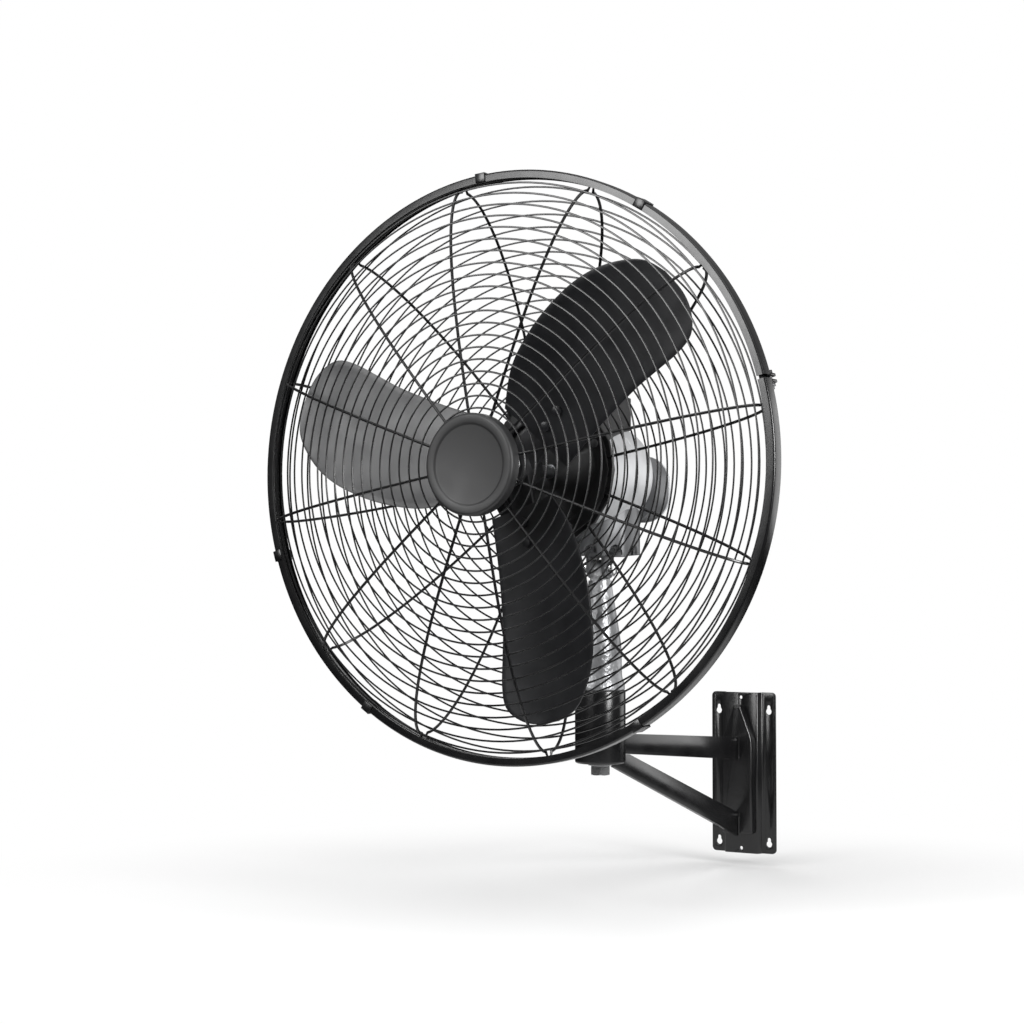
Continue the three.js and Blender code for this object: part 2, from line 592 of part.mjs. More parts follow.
/** The plate behind the guard's inner ring that the cap's stud draws up to it. */
function capBackplate() {
  return piece('cap_backplate',
    ring('y', CAP.stud + GAP, BACKPLATE.radius, backplateSeat, backplateEnd, SIDES.large), zinc());
}

function capNut() {
  const seat = backplateEnd + GAP;
  return piece('cap_nut', cut(hexagon('y', BACKPLATE.nut, seat, seat + BACKPLATE.nutHeight),
    rod('y', CAP.stud + GAP, seat - CLEAR, seat + CLEAR, SIDES.large)), zinc());
}

// ---------------------------------------------------------------- motor
/** The front shield: the disc that carries the rear guard and the front bearing. */
function motorShield() {
  const { radius, thickness, bore } = SHIELD;
  const front = shieldFront;
  const back = front + thickness;
  const end = frontBearingStart + BEARING.width;
  const seat = BEARING.outer + GAP;
  const register = SHELL.radius - SHELL.wall - GAP;
  const step = SHIELD.register;
  const start = frontBearingStart - GAP;
  const disc = turned('y', [[bore, front], [radius, front], [radius, back], [register, back],
    [register, back + step], [register - step, back + step], [register - step, back],
    [seat + step, back], [seat + step, end], [seat, end], [seat, start], [bore, start], [bore, front]]);
  return piece('motor_shield', cut(disc, ...screwHoles()), blackPaint());
}

/** Holes for the guard's clamp screws, on their circle round the axis. */
function screwHoles() {
  return clampAngles().map((angle) => atAngle(
    drill('y', CLAMP_SCREW.shank, SIDES.screw).translate([CLAMP_SCREW.orbit, shieldFront, 0]), angle));
}

const clampAngles = () => Array.from({ length: CLAMP_SCREW.count },
  (_, i) => CLAMP_SCREW.first + (i * 360) / CLAMP_SCREW.count);

const ringBack = domeHeight(REAR_DOME, CLAMP_RING.outer) - WIRE.ring / 2 - GAP;

function guardClampRing() {
  const { inner, outer, thickness } = CLAMP_RING;
  return piece('guard_clamp_ring',
    cut(ring('y', inner, outer, ringBack - thickness, ringBack), ...screwHoles()), blackPaint());
}

function clampScrew(number) {
  const seat = ringBack - CLAMP_RING.thickness - GAP;
  const end = shieldFront + SHIELD.thickness - BITE;
  const body = join(rod('y', CLAMP_SCREW.head, seat - CLAMP_SCREW.headHeight, seat, SIDES.small),
    rod('y', CLAMP_SCREW.shank, seat - BITE, end, SIDES.screw));
  const place = [CLAMP_SCREW.orbit, 0, 0];
  return piece(`clamp_screw_${number + 1}`, atAngle(body.translate(place), clampAngles()[number]), zinc());
}

/** The motor's drum, open to the shield, with a seat for the rear bearing. */
function motorShell() {
  const { radius, wall, round, bore } = SHELL;
  const seat = BEARING.outer + GAP;
  const stop = rearBearingStart + BEARING.width + GAP;
  const web = rearBearingStart - 2 * BITE;
  const middle = 0.3 * round; // how far the rounded shoulder's middle stands in from both faces
  return piece('motor_shell', turned('y', [[radius - wall, shellStart], [radius, shellStart],
    [radius, shellEnd - round], [radius - middle, shellEnd - middle], [radius - round, shellEnd],
    [bore, shellEnd], [bore, stop], [seat, stop], [seat, web], [radius - wall, web],
    [radius - wall, shellStart]]), castSilver());
}

const bearing = (name, start) => piece(name,
  ring('y', BEARING.inner, BEARING.outer, start, start + BEARING.width), steel());

function statorCore() {
  const { bore, stator, length } = CORE;
  return piece('stator_core', ring('y', bore, stator, coreStart, coreStart + length), steel());
}

function winding(name, start) {
  const { inner, outer, length } = WINDING;
  return piece(name, ring('y', inner, outer, start, start + length, SIDES.middle), copper());
}

/** The hood's plan: wide at the shield and drawn in to a round end. */
function hoodPlan(inset) {
  const rear = hoodRear - inset;
  const end = HOOD.halfRear - inset;
  const front = HOOD.halfFront - inset;
  const start = shellStart + inset;
  const { corner } = HOOD_FORM;
  const plan = new THREE.Shape();
  plan.moveTo(-front, start);
  plan.lineTo(front, start);
  plan.lineTo(end + 3, rear - corner);
  plan.quadraticCurveTo(end, rear, end - corner, rear);
  plan.lineTo(-end + corner, rear);
  plan.quadraticCurveTo(-end, rear, -end - 3, rear - corner);
  return plan;
}

/** The hood on the drum that covers the run capacitor and the terminals. */
function terminalHood() {
  const { top, skirtFront, skirtRear } = HOOD;
  const { wall, brow, rearRise } = HOOD_FORM;
  const ahead = shellStart - CLEAR;
  const body = prism('z', hoodPlan(0), 0, top);
  const inside = prism('z', hoodPlan(wall), -BITE, top - wall);
  const drum = rod('y', SHELL.radius + GAP, ahead, hoodRear + CLEAR, SIDES.large);
  const below = prism('x', outline([[ahead, -CLEAR], [hoodRear + CLEAR, -CLEAR],
    [hoodRear + CLEAR, skirtRear + rearRise], [hoodRear, skirtRear], [shellStart, skirtFront],
    [ahead, skirtFront]]), -2 * CLEAR, 2 * CLEAR);
  const slope = prism('x', outline([[shellStart - BITE, top - brow], [shellStart + brow, top + BITE],
    [shellStart - BITE, top + BITE]]), -2 * CLEAR, 2 * CLEAR);
  return piece('terminal_hood', cut(body, inside, drum, below, slope), blackPlastic());
}

function runCapacitor() {
  const start = shellStart + CAPACITOR.behind;
  const height = SHELL.radius + CAPACITOR.radius + GAP;
  return piece('run_capacitor',
    rod('y', CAPACITOR.radius, start, start + CAPACITOR.length).translate([0, 0, height]), zinc());
}

// ---------------------------------------------------------------- gear case
/** The case's upright outline, seen from behind, drawn in by an inset. */
function caseOutline(inset) {
  const { halfWidth, top, bottom, round } = CASE;
  const centre = (top + bottom) / 2;
  return roundedRectangle(0, centre, halfWidth - inset, (top - bottom) / 2 - inset, round - inset);
}

/** The skirt's plan: round about the spindle and drawn out behind round the crank. */
const skirtPlan = (inset) =>
  slotShape(spindlePlace, wheelPlace, SKIRT.radius - inset, SKIRT.rearRadius - inset);

/** An opening with a round top through the skirt's wall, at an angle round the spindle. */
function skirtArch(angle) {
  const { halfWidth, top } = ARCH;
  const shape = slotShape([SKIRT.bottom - halfWidth, 0], [top - halfWidth, 0], halfWidth);
  const tunnel = prism('y', shape, -SKIRT.radius - halfWidth, -SKIRT.radius / 2, 2).rotate([0, -90, 0]);
  return tunnel.rotate([0, 0, angle + 90]).translate([...spindlePlace, 0]);
}

/** The gear case: a pocket for the gears behind the drum, and a skirt round the crank. */
function gearCase() {
  const onSpindle = (body) => body.translate([...spindlePlace, 0]);
  const onWheel = (body) => body.translate([...wheelPlace, 0]);
  const back = prism('y', caseOutline(0), caseFront, caseRear);
  const foot = prism('z', skirtPlan(0), SKIRT.bottom, CASE.bottom + CASE.round, 4);
  const knobBoss = onWheel(rod('z', KNOB.boss, 0, CASE.top + KNOB.seat));
  const motor = rod('y', SHELL.radius + GAP, 0, caseFront - GAP / 10, SIDES.large);
  const behind = prism('y', caseOutline(-GAP), caseRear, caseRear + CLEAR);
  const under = prism('z', skirtPlan(SKIRT.wall), SKIRT.bottom - CLEAR, SKIRT.roof, 4);
  const pocket = prism('y', roundedRectangle(0, 0, POCKET.halfWidth, POCKET.halfHeight, POCKET.round),
    caseFront + POCKET.wall, caseRear + CLEAR, 2);
  const shaftHole = rod('y', SHAFT.radius + BITE, caseFront - BITE, caseRear);
  const drop = onWheel(rod('z', WHEEL.shaft + GAP, SKIRT.bottom, 0));
  const stem = onWheel(rod('z', KNOB.stem + GAP, 0, CASE.top + CLEAR));
  const open = cut(join(back, foot, knobBoss), motor, behind, under, pocket, shaftHole, drop, stem,
    ...ARCH.angles.map(skirtArch));
  const boss = onSpindle(rod('z', SKIRT.boss, spindleShoulder + GAP, SKIRT.roof + BITE));
  const bushSeat = SPINDLE.journal + SPINDLE.bushWall + 2 * GAP;
  const bush = onSpindle(rod('z', bushSeat, yokeTopInHead, yokeTopInHead + SPINDLE.height + BITE));
  return piece('gear_case', cut(join(open, boss), bush), castSilver());
}

/** The cover that closes the gear pocket: a plate with a smaller raised back. */
function gearCover() {
  const start = caseRear + GAP;
  const step = CASE.cover / 2;
  const plate = prism('y', caseOutline(0), start, start + step);
  const back = prism('y', caseOutline(CASE.taper), start + step - BITE, start + CASE.cover);
  return piece('gear_cover', join(plate, back), castSilver());
}

function pivotBushing() {
  const inner = SPINDLE.journal + GAP;
  const low = spindleShoulder + GAP;
  const high = yokeTopInHead + SPINDLE.height - BITE;
  return piece('pivot_bushing', ring('z', inner, inner + SPINDLE.bushWall, low, high, SIDES.middle)
    .translate([...spindlePlace, 0]), brass());
}

/** The worm wheel and its upright shaft, which ends under the case. */
function crankGear() {
  const { teeth, outer, root, width, shaft } = WHEEL;
  const rim = [];
  for (let i = 0; i < teeth; i += 1) {
    const shares = [[root, 0], [root, 0.3], [outer, 0.42], [outer, 0.78]];
    for (const [r, share] of shares) {
      const angle = ((i + share) / teeth) * 2 * Math.PI;
      rim.push([r * Math.cos(angle), r * Math.sin(angle)]);
    }
  }
  const wheel = prism('z', outline(rim), -width / 2, width / 2);
  const bar = rod('z', shaft, crankBottom + GAP, width / 2 + BITE);
  return piece('crank_gear', join(wheel, bar).translate([...wheelPlace, 0]), steel());
}

/** The crank: a disc on the shaft's end with its pin pointing down. */
function crankDisc() {
  const disc = ring('z', WHEEL.shaft + GAP, CRANK.disc, crankBottom, crankTop);
  const pin = rod('z', CRANK.pin, linkTop - LINK.thickness - BITE, crankTop - BITE, SIDES.small);
  const body = join(disc.translate([...wheelPlace, 0]), pin.translate([...crankPin, 0]));
  return piece('crank_disc', body, zinc());
}

/** The link from the crank's pin to the yoke's ear, whose pin stops just under it. */
function dragLink() {
  const bottom = linkTop - LINK.thickness;
  const bar = prism('z', slotShape(crankPin, earPin, LINK.bar), bottom, linkTop);
  const eye = (place) => rod('z', LINK.eye, bottom, linkTop).translate([...place, 0]);
  const hole = (place, radius) => drill('z', radius, SIDES.small).translate([...place, bottom]);
  return piece('drag_link', cut(join(bar, eye(crankPin), eye(earPin)), hole(crankPin, CRANK.pin),
    hole(earPin, EAR_PIN.radius)), zinc());
}

/** The pull knob that lets the head stand still: a stem and a mushroom head. */
function pullKnob() {
  const seat = CASE.top + KNOB.seat + GAP;
  const { stem, head, height } = KNOB;
  const low = WHEEL.width;
  const ease = 2;
  const body = turned('z', [[0, low], [stem, low], [stem, seat], [head - ease, seat], [head, seat + ease],
    [head, seat + height - 2 * ease], [head - ease, seat + height], [0, seat + height]], SIDES.middle);
  return piece('pull_knob', body.translate([...wheelPlace, 0]), blackPlastic());
}

// ---------------------------------------------------------------- rotor
/** The blades' pitch at a distance out along them, in degrees. */
const pitchAt = (out) =>
  THREE.MathUtils.mapLinear(out, 0, TRAILING.at(-1)[0], BLADE_PITCH.root, BLADE_PITCH.tip);

/** A place on the blades' sheet: out along the blade, across it, and off its face. */
function bladePoint(out, across, lift, phase) {
  const pitch = pitchAt(out);
  const bow = BLADE.camber * (1 - (across / BOW_WIDTH) ** 2);
  const y = BLADE.base - BLADE.cone * out - Math.tan(rad(pitch)) * across + bow + lift;
  const angle = rad(phase);
  return [out * Math.cos(angle) - across * Math.sin(angle), y,
    out * Math.sin(angle) + across * Math.cos(angle)];
}

/** A bent sheet with a thickness, from a grid of [out, across] places on the blade. */
function bladeSheet(grid, phase, lift, thickness) {
  const [rows, columns] = [grid.length, grid[0].length];
  const points = [];
  const faces = [];
  for (const face of [-thickness / 2, thickness / 2]) {
    grid.flat().forEach(([out, across]) => points.push(...bladePoint(out, across, lift + face, phase)));
  }
  const at = (layer, i, j) => layer * rows * columns + i * columns + j;
  const quad = (a, b, c, d) => faces.push(a, b, c, a, c, d);
  for (let i = 0; i < rows - 1; i += 1) {
    for (let j = 0; j < columns - 1; j += 1) {
      quad(at(0, i, j), at(0, i + 1, j), at(0, i + 1, j + 1), at(0, i, j + 1));
      quad(at(1, i, j + 1), at(1, i + 1, j + 1), at(1, i + 1, j), at(1, i, j));
    }
    quad(at(1, i, 0), at(1, i + 1, 0), at(0, i + 1, 0), at(0, i, 0));
    const last = columns - 1;
    quad(at(0, i, last), at(0, i + 1, last), at(1, i + 1, last), at(1, i, last));
  }
  for (let j = 0; j < columns - 1; j += 1) {
    quad(at(0, 0, j), at(0, 0, j + 1), at(1, 0, j + 1), at(1, 0, j));
    const last = rows - 1;
    quad(at(1, last, j), at(1, last, j + 1), at(0, last, j + 1), at(0, last, j));
  }
  const geometry = new THREE.BufferGeometry();
  geometry.setAttribute('position', new THREE.Float32BufferAttribute(points, 3));
  geometry.setIndex(faces);
  return solid(geometry);
}

const BLUNT_TIP = 0.985; // where the edges' last row is, before they meet
const bladePhase = (number) => BLADE.phase + number * 120;

/** Screw bars square to the blade's root, for the screws and for their holes. */
function onBlade(body, station, phase) {
  const [x, y, z] = bladePoint(station, 0, 0, phase);
  return atAngle(body.rotate([pitchAt(station), 0, 0]), phase).translate([x, y, z]);
}

const screwBars = (phase) => BLADE_SCREW.stations.map((station) =>
  onBlade(drill('y', BLADE_SCREW.shank, SIDES.screw), station, phase));

/** A blade: a cambered paddle of sheet between its leading and trailing edges. */
function blade(number) {
  const curve = (edge) => new THREE.SplineCurve(edge.map(([u, v]) => new THREE.Vector2(u, v)));
  const [lead, trail] = [curve(LEADING), curve(TRAILING)];
  const grid = [];
  for (let i = 0; i < BLADE.rows; i += 1) {
    const t = Math.min(i / (BLADE.rows - 1), BLUNT_TIP);
    const [a, b] = [lead.getPointAt(t), trail.getPointAt(t)];
    grid.push(Array.from({ length: BLADE.columns + 1 }, (_, j) =>
      a.clone().lerp(b, j / BLADE.columns).toArray()));
  }
  const phase = bladePhase(number);
  const sheet = bladeSheet(grid, phase, 0, BLADE.sheet);
  return piece(`blade_${number + 1}`, cut(sheet, ...screwBars(phase)), bladePaint());
}

/** The hub: a bored boss and three arms that lie behind the blades' roots. */
function bladeHub() {
  const lift = BLADE.sheet / 2 + HUB.armSheet / 2 + GAP;
  const start = BLADE.base - HUB.ahead;
  const { armReach, arm, corner } = HUB;
  let body = rod('y', HUB.radius, start, start + HUB.length, SIDES.middle);
  for (let number = 0; number < 3; number += 1) {
    const edge = [[HUB.radius / 2, arm / 2], [armReach - corner, arm / 2], [armReach, arm / 2 - corner / 2]];
    const grid = edge.map(([out, half]) => [-half, 0, half].map((across) => [out, across]));
    body = join(body, bladeSheet(grid, bladePhase(number), lift, HUB.armSheet));
    body = cut(body, ...screwBars(bladePhase(number)));
  }
  const bore = drill('y', SHAFT.radius);
  const clear = rod('y', HUB.radius - HUB.rim, start - CLEAR, start);
  return piece('blade_hub', cut(body, bore, clear), castSilver());
}

function bladeScrew(number) {
  const phase = bladePhase(Math.floor(number / 2));
  const seat = -BLADE.sheet / 2 - BLADE_SCREW.stand;
  const body = join(rod('y', BLADE_SCREW.head, seat - BLADE_SCREW.headHeight, seat, SIDES.small),
    rod('y', BLADE_SCREW.shank, seat - BITE, 2 * HUB.armSheet, SIDES.screw));
  return piece(`blade_screw_${number + 1}`, onBlade(body, BLADE_SCREW.stations[number % 2], phase), zinc());
}

function hubNut() {
  const seat = BLADE.base - HUB.ahead - GAP;
  const blank = hexagon('y', HUB_NUT.corner, seat - HUB_NUT.height, seat);
  const nut = cut(blank, drill('y', SHAFT.radius));
  return piece('hub_nut', nut, zinc());
}

/** The shaft, from the hub through both bearings to its worm in the gear case. */
function rotorShaft() {
  const { radius, front, worm } = SHAFT;
  const end = caseRear - 2 * BITE;
  const step = caseFront + POCKET.wall;
  return piece('rotor_shaft', turned('y', [[0, front], [radius - BITE, front], [radius, front + BITE],
    [radius, step], [worm, step + BITE], [worm, end], [0, end]], SIDES.middle), steel());
}

function rotorCore() {
  const { rotor, length } = CORE;
  return piece('rotor_core',
    ring('y', SHAFT.radius + GAP, rotor, coreStart, coreStart + length), steel());
}

// ---------------------------------------------------------------- the whole fan
const times = (count, make) => Array.from({ length: count }, (_, i) => make(i));

const bracket = assembly([0, 0, 0], wallPlate(), plateSpine(),
  arm('upper_arm', UPPER_ARM), arm('lower_arm', LOWER_ARM, mitre()));
const post = assembly([0, -NECK_REACH, 0], mountingCollar(), collarBolt(), collarWasher(), neckPost());
const yoke = assembly([0, -NECK_REACH, 0], tiltYoke(), tiltBolt(), tiltNut(), pivotSpindle());
const drive = assembly([0, 0, 0], crankGear(), crankDisc(), dragLink(), pullKnob());
const rotor = assembly([0, 0, 0], rotorShaft(), rotorCore(), bladeHub(), hubNut(),
  ...times(3, blade), ...times(6, bladeScrew));
const head = assembly([0, -RIM_REACH, AXIS_HEIGHT],
  gearCase(), gearCover(), pivotBushing(),
  motorShell(), motorShield(), statorCore(), runCapacitor(), terminalHood(),
  winding('winding_front', coreStart - WINDING.length - GAP),
  winding('winding_rear', coreStart + CORE.length + GAP),
  bearing('front_bearing', frontBearingStart), bearing('rear_bearing', rearBearingStart),
  wireGuard('front_guard', FRONT_DOME, -1), wireGuard('rear_guard', REAR_DOME, 1),
  guardHoop(), hoopScrew(), hoopNut(), frontCap(), capBackplate(), capNut(),
  guardClampRing(), ...times(CLAMP_SCREW.count, clampScrew), ...times(CLIP.angles.length, hoopClip),
  drive, rotor);

const group = new THREE.Group();
group.add(bracket, post, yoke, head);
export default group;
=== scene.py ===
"""A wall mounted fan: its looks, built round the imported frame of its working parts."""

import logging
import math
from collections.abc import Callable, Sequence
from dataclasses import dataclass
from enum import Enum

import bmesh
import bpy
from mathutils import Matrix, Vector


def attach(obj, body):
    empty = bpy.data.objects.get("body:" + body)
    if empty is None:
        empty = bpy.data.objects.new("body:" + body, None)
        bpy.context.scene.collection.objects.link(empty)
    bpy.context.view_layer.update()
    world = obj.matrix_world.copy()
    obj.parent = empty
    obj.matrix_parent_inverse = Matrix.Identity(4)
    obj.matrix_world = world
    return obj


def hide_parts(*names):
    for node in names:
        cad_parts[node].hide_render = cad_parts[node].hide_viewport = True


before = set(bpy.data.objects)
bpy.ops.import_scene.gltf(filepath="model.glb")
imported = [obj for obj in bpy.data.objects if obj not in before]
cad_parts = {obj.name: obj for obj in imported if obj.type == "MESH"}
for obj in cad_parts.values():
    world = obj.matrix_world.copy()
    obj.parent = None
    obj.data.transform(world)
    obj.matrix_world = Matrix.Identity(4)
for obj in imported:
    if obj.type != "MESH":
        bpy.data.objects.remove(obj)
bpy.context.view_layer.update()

MM = 0.001
MERGE = 1e-3  # points nearer than this are one, in millimetres
SHARP = math.radians(32)  # edges this sharp keep their crease
WIRE_SIDES = 8
END_TAPER = 0.6  # how far a wire's ends are drawn in
CURVE_STEPS = 24  # fine steps between two points of a smooth curve
CLOUD = 34.0  # the size of a finish's slow changes, in millimetres
DUST_PATCH = 9.0  # the size of the patches that dust lies in
RANGE_SOCKETS = ("From Min", "From Max", "To Min", "To Max")
LOG = logging.getLogger("wall_fan")

Pair = tuple[float, float]
Triple = tuple[float, float, float]
PLATE_FRAME: Triple = (0.0, 0.0, 0.0)
NECK_FRAME: Triple = (0.0, -414.0, 0.0)
HEAD_FRAME: Triple = (0.0, -636.0, 399.3)
DUST: Triple = (0.32, 0.31, 0.29)
DUST_SLOPE: Pair = (0.55, 1.0)  # how far a surface must face up for dust to start and to lie thick
ROUGH_SPREAD: Pair = (0.88, 1.14)  # how far roughness wanders, as shares


class Axis(Enum):
    """An axis that a profile turns about or that an outline is carried along."""

    X = "X"
    Y = "Y"
    Z = "Z"

    @property
    def turning(self) -> Matrix:
        """How a shape turned about Z comes to lie about this axis.

        Returns:
            The turn, as a matrix.
        """
        quarter = math.pi / 2
        return {
            Axis.X: Matrix.Rotation(quarter, 4, "Y"),
            Axis.Y: Matrix.Rotation(-quarter, 4, "X"),
            Axis.Z: Matrix.Identity(4),
        }[self]

    def place(self, u: float, v: float, along: float) -> Triple:
        """The point of an outline's (u, v) at a station along this axis."""
        return {Axis.X: (along, u, v), Axis.Y: (u, along, v), Axis.Z: (u, v, along)}[self]


class Body(Enum):
    """The rigid bodies that pieces ride on."""

    BRACKET = "bracket"
    YOKE = "yoke"
    HEAD = "head"
    ROTOR = "rotor"
    CRANK = "crank"
    LINK = "link"
    KNOB = "knob"


# ---------------------------------------------------------------- outlines and curves
def arc(centre: Pair, radius: float, start: float, end: float, steps: int = 8) -> list[Pair]:
    """Points along an arc of a circle.

    Args:
        centre: The circle's middle.
        radius: Its radius.
        start: Where the arc starts, in degrees.
        end: Where it ends, in degrees.
        steps: How many straight pieces stand for it.

    Returns:
        The arc's points, both ends included.
    """
    angles = [math.radians(start + (end - start) * i / steps) for i in range(steps + 1)]
    return [(centre[0] + radius * math.cos(a), centre[1] + radius * math.sin(a)) for a in angles]


def rounded(cu: float, cv: float, hu: float, hv: float, r: float, steps: int = 6) -> list[Pair]:
    """A rectangle with round corners.

    Args:
        cu: The middle's first coordinate.
        cv: The middle's second coordinate.
        hu: Half the width.
        hv: Half the height.
        r: The corners' radius.
        steps: Straight pieces in each corner.

    Returns:
        Its outline, anticlockwise.
    """
    points: list[Pair] = []
    for su, sv, start in ((1, -1, -90), (1, 1, 0), (-1, 1, 90), (-1, -1, 180)):
        points += arc((cu + su * (hu - r), cv + sv * (hv - r)), r, start, start + 90, steps)
    return points


def stadium(a: Pair, b: Pair, radius: float, steps: int = 16) -> list[Pair]:
    """A bar with round ends.

    Args:
        a: The middle of the first end.
        b: The middle of the second end.
        radius: The ends' radius.
        steps: Straight pieces in each end.

    Returns:
        Its outline, anticlockwise.
    """
    along = math.degrees(math.atan2(b[1] - a[1], b[0] - a[0]))
    return arc(a, radius, along + 90, along + 270, steps) + arc(b, radius, along - 90, along + 90, steps)


def hexagon(corner: float) -> list[Pair]:
    """The outline of a six-sided head with this radius over its corners."""
    return arc((0.0, 0.0), corner, 0, 300, 5)


def spline(points: Sequence[Pair], count: int) -> list[Pair]:
    """Even places along a smooth curve through some points.

    Args:
        points: What the curve runs through.
        count: How many places are wanted.

    Returns:
        The places, both ends included.
    """
    knots = [Vector(p) for p in (points[0], *points, points[-1])]
    fine: list[Vector] = []
    for p0, p1, p2, p3 in zip(knots, knots[1:], knots[2:], knots[3:]):
        for step in range(CURVE_STEPS):
            t = step / CURVE_STEPS
            v0, v1 = (p2 - p0) / 2, (p3 - p1) / 2
            cubic = 2 * p1 - 2 * p2 + v0 + v1
            square = -3 * p1 + 3 * p2 - 2 * v0 - v1
            fine.append(cubic * t**3 + square * t**2 + v0 * t + p1)
    fine.append(knots[-1])
    lengths = [0.0]
    for a, b in zip(fine, fine[1:]):
        lengths.append(lengths[-1] + (b - a).length)
    places: list[Pair] = []
    for i in range(count):
        goal = lengths[-1] * i / (count - 1)
        k = max(1, next(n for n, l in enumerate(lengths) if l >= goal - MERGE))
        share = (goal - lengths[k - 1]) / max(lengths[k] - lengths[k - 1], MERGE)
        places.append(tuple(fine[k - 1].lerp(fine[k], share)))
    return places


# ---------------------------------------------------------------- shaping metal
class Solid:
    """A closed shape under the tools, in millimetres, in its sub-assembly's own frame."""

    def __init__(self) -> None:
        """Starts with nothing."""
        self.mesh = bmesh.new()

    def absorb(self, shape: bmesh.types.BMesh, matrix: Matrix | None = None) -> "Solid":
        """Takes in a closed shape, faces outwards.

        Args:
            shape: The shape, which is used up.
            matrix: How it is placed first.

        Returns:
            This solid.
        """
        bmesh.ops.remove_doubles(shape, verts=shape.verts[:], dist=MERGE)
        bmesh.ops.dissolve_degenerate(shape, edges=shape.edges[:], dist=MERGE)
        if matrix is not None:
            bmesh.ops.transform(shape, matrix=matrix, verts=shape.verts[:])
        bmesh.ops.recalc_face_normals(shape, faces=shape.faces[:])
        kept = bpy.data.meshes.new("shape")
        shape.to_mesh(kept)
        shape.free()
        self.mesh.from_mesh(kept)
        bpy.data.meshes.remove(kept)
        return self

    def turn(self, axis: Axis, profile: Sequence[Pair], centre: Triple = (0, 0, 0),
             steps: int = 96) -> "Solid":
        """Adds a turned shape.

        Args:
            axis: The axis that it turns about.
            profile: (radius, station) pairs that start and end on the axis or close.
            centre: Where the axis passes.
            steps: Steps in a full turn.

        Returns:
            This solid.
        """
        shape = bmesh.new()
        closed = profile[0] == profile[-1]
        verts = [shape.verts.new((r, 0.0, h)) for r, h in (profile[:-1] if closed else profile)]
        pairs = list(zip(verts, verts[1:])) + ([(verts[-1], verts[0])] if closed else [])
        edges = [shape.edges.new(pair) for pair in pairs]
        bmesh.ops.spin(shape, geom=verts + edges, cent=(0, 0, 0), axis=(0, 0, 1), angle=math.tau,
                       steps=steps, use_merge=True)
        return self.absorb(shape, Matrix.Translation(centre) @ axis.turning)

    def rod(self, axis: Axis, radius: float, start: float, end: float, centre: Triple = (0, 0, 0),
            ease: float = 0.0, steps: int = 32) -> "Solid":
        """Adds a round bar.

        Args:
            axis: The axis that it lies along.
            radius: Its radius.
            start: The station where it starts.
            end: The station where it ends.
            centre: Where its middle line passes.
            ease: The chamfer at its ends.
            steps: Steps in a full turn.

        Returns:
            This solid.
        """
        profile = [(0.0, start), (radius - ease, start), (radius, start + ease),
                   (radius, end - ease), (radius - ease, end), (0.0, end)]
        return self.turn(axis, profile, centre, steps)

    def prism(self, axis: Axis, outline: Sequence[Pair], start: float, end: float) -> "Solid":
        """Adds an outline carried along an axis.

        Args:
            axis: The axis: the outline lies in (y, z), (x, z) or (x, y).
            outline: The outline's points.
            start: The station where the prism starts.
            end: The station where it ends.

        Returns:
            This solid.
        """
        shape = bmesh.new()
        verts = [shape.verts.new(axis.place(u, v, start)) for u, v in outline]
        face = shape.faces.new(verts)
        grown = bmesh.ops.extrude_face_region(shape, geom=[face])["geom"]
        moved = [g for g in grown if isinstance(g, bmesh.types.BMVert)]
        bmesh.ops.translate(shape, vec=Vector(axis.place(0, 0, end - start)), verts=moved)
        return self.absorb(shape)

    def wire(self, path: Sequence[Triple], radius: float) -> "Solid":
        """Adds a round wire along a path, with rounded ends.

        Args:
            path: The wire's middle line.
            radius: The wire's radius.

        Returns:
            This solid.
        """
        points = [Vector(p) for p in path]
        shape = bmesh.new()
        tangents = [(b - a).normalized() for a, b in zip(points, points[1:])]
        tangents.append(tangents[-1])
        turn = tangents[0].to_track_quat("Z", "X").to_matrix().to_4x4()
        place = Matrix.Translation(points[0]) @ turn
        ring = bmesh.ops.create_circle(shape, cap_ends=True, radius=radius, segments=WIRE_SIDES,
                                       matrix=place)
        edges = list({e for v in ring["verts"] for e in v.link_edges})
        bmesh.ops.scale(shape, vec=(END_TAPER,) * 3, space=place.inverted(), verts=ring["verts"])
        for i in range(1, len(points)):
            middle = (tangents[i - 1] + tangents[i]).normalized()
            bent = (turn.to_3x3() @ Vector((0, 0, 1))).rotation_difference(middle).to_matrix().to_4x4()
            following = Matrix.Translation(points[i]) @ bent @ turn
            grown = bmesh.ops.extrude_edge_only(shape, edges=edges)["geom"]
            verts = [g for g in grown if isinstance(g, bmesh.types.BMVert)]
            edges = [g for g in grown if isinstance(g, bmesh.types.BMEdge)]
            bmesh.ops.transform(shape, matrix=following @ place.inverted(), verts=verts)
            grow = {1: 1 / END_TAPER, len(points) - 1: END_TAPER}.get(i, 1.0)
            bmesh.ops.scale(shape, vec=(grow,) * 3, space=following.inverted(), verts=verts)
            place, turn = following, bent @ turn
        bmesh.ops.contextual_create(shape, geom=edges)
        return self.absorb(shape)

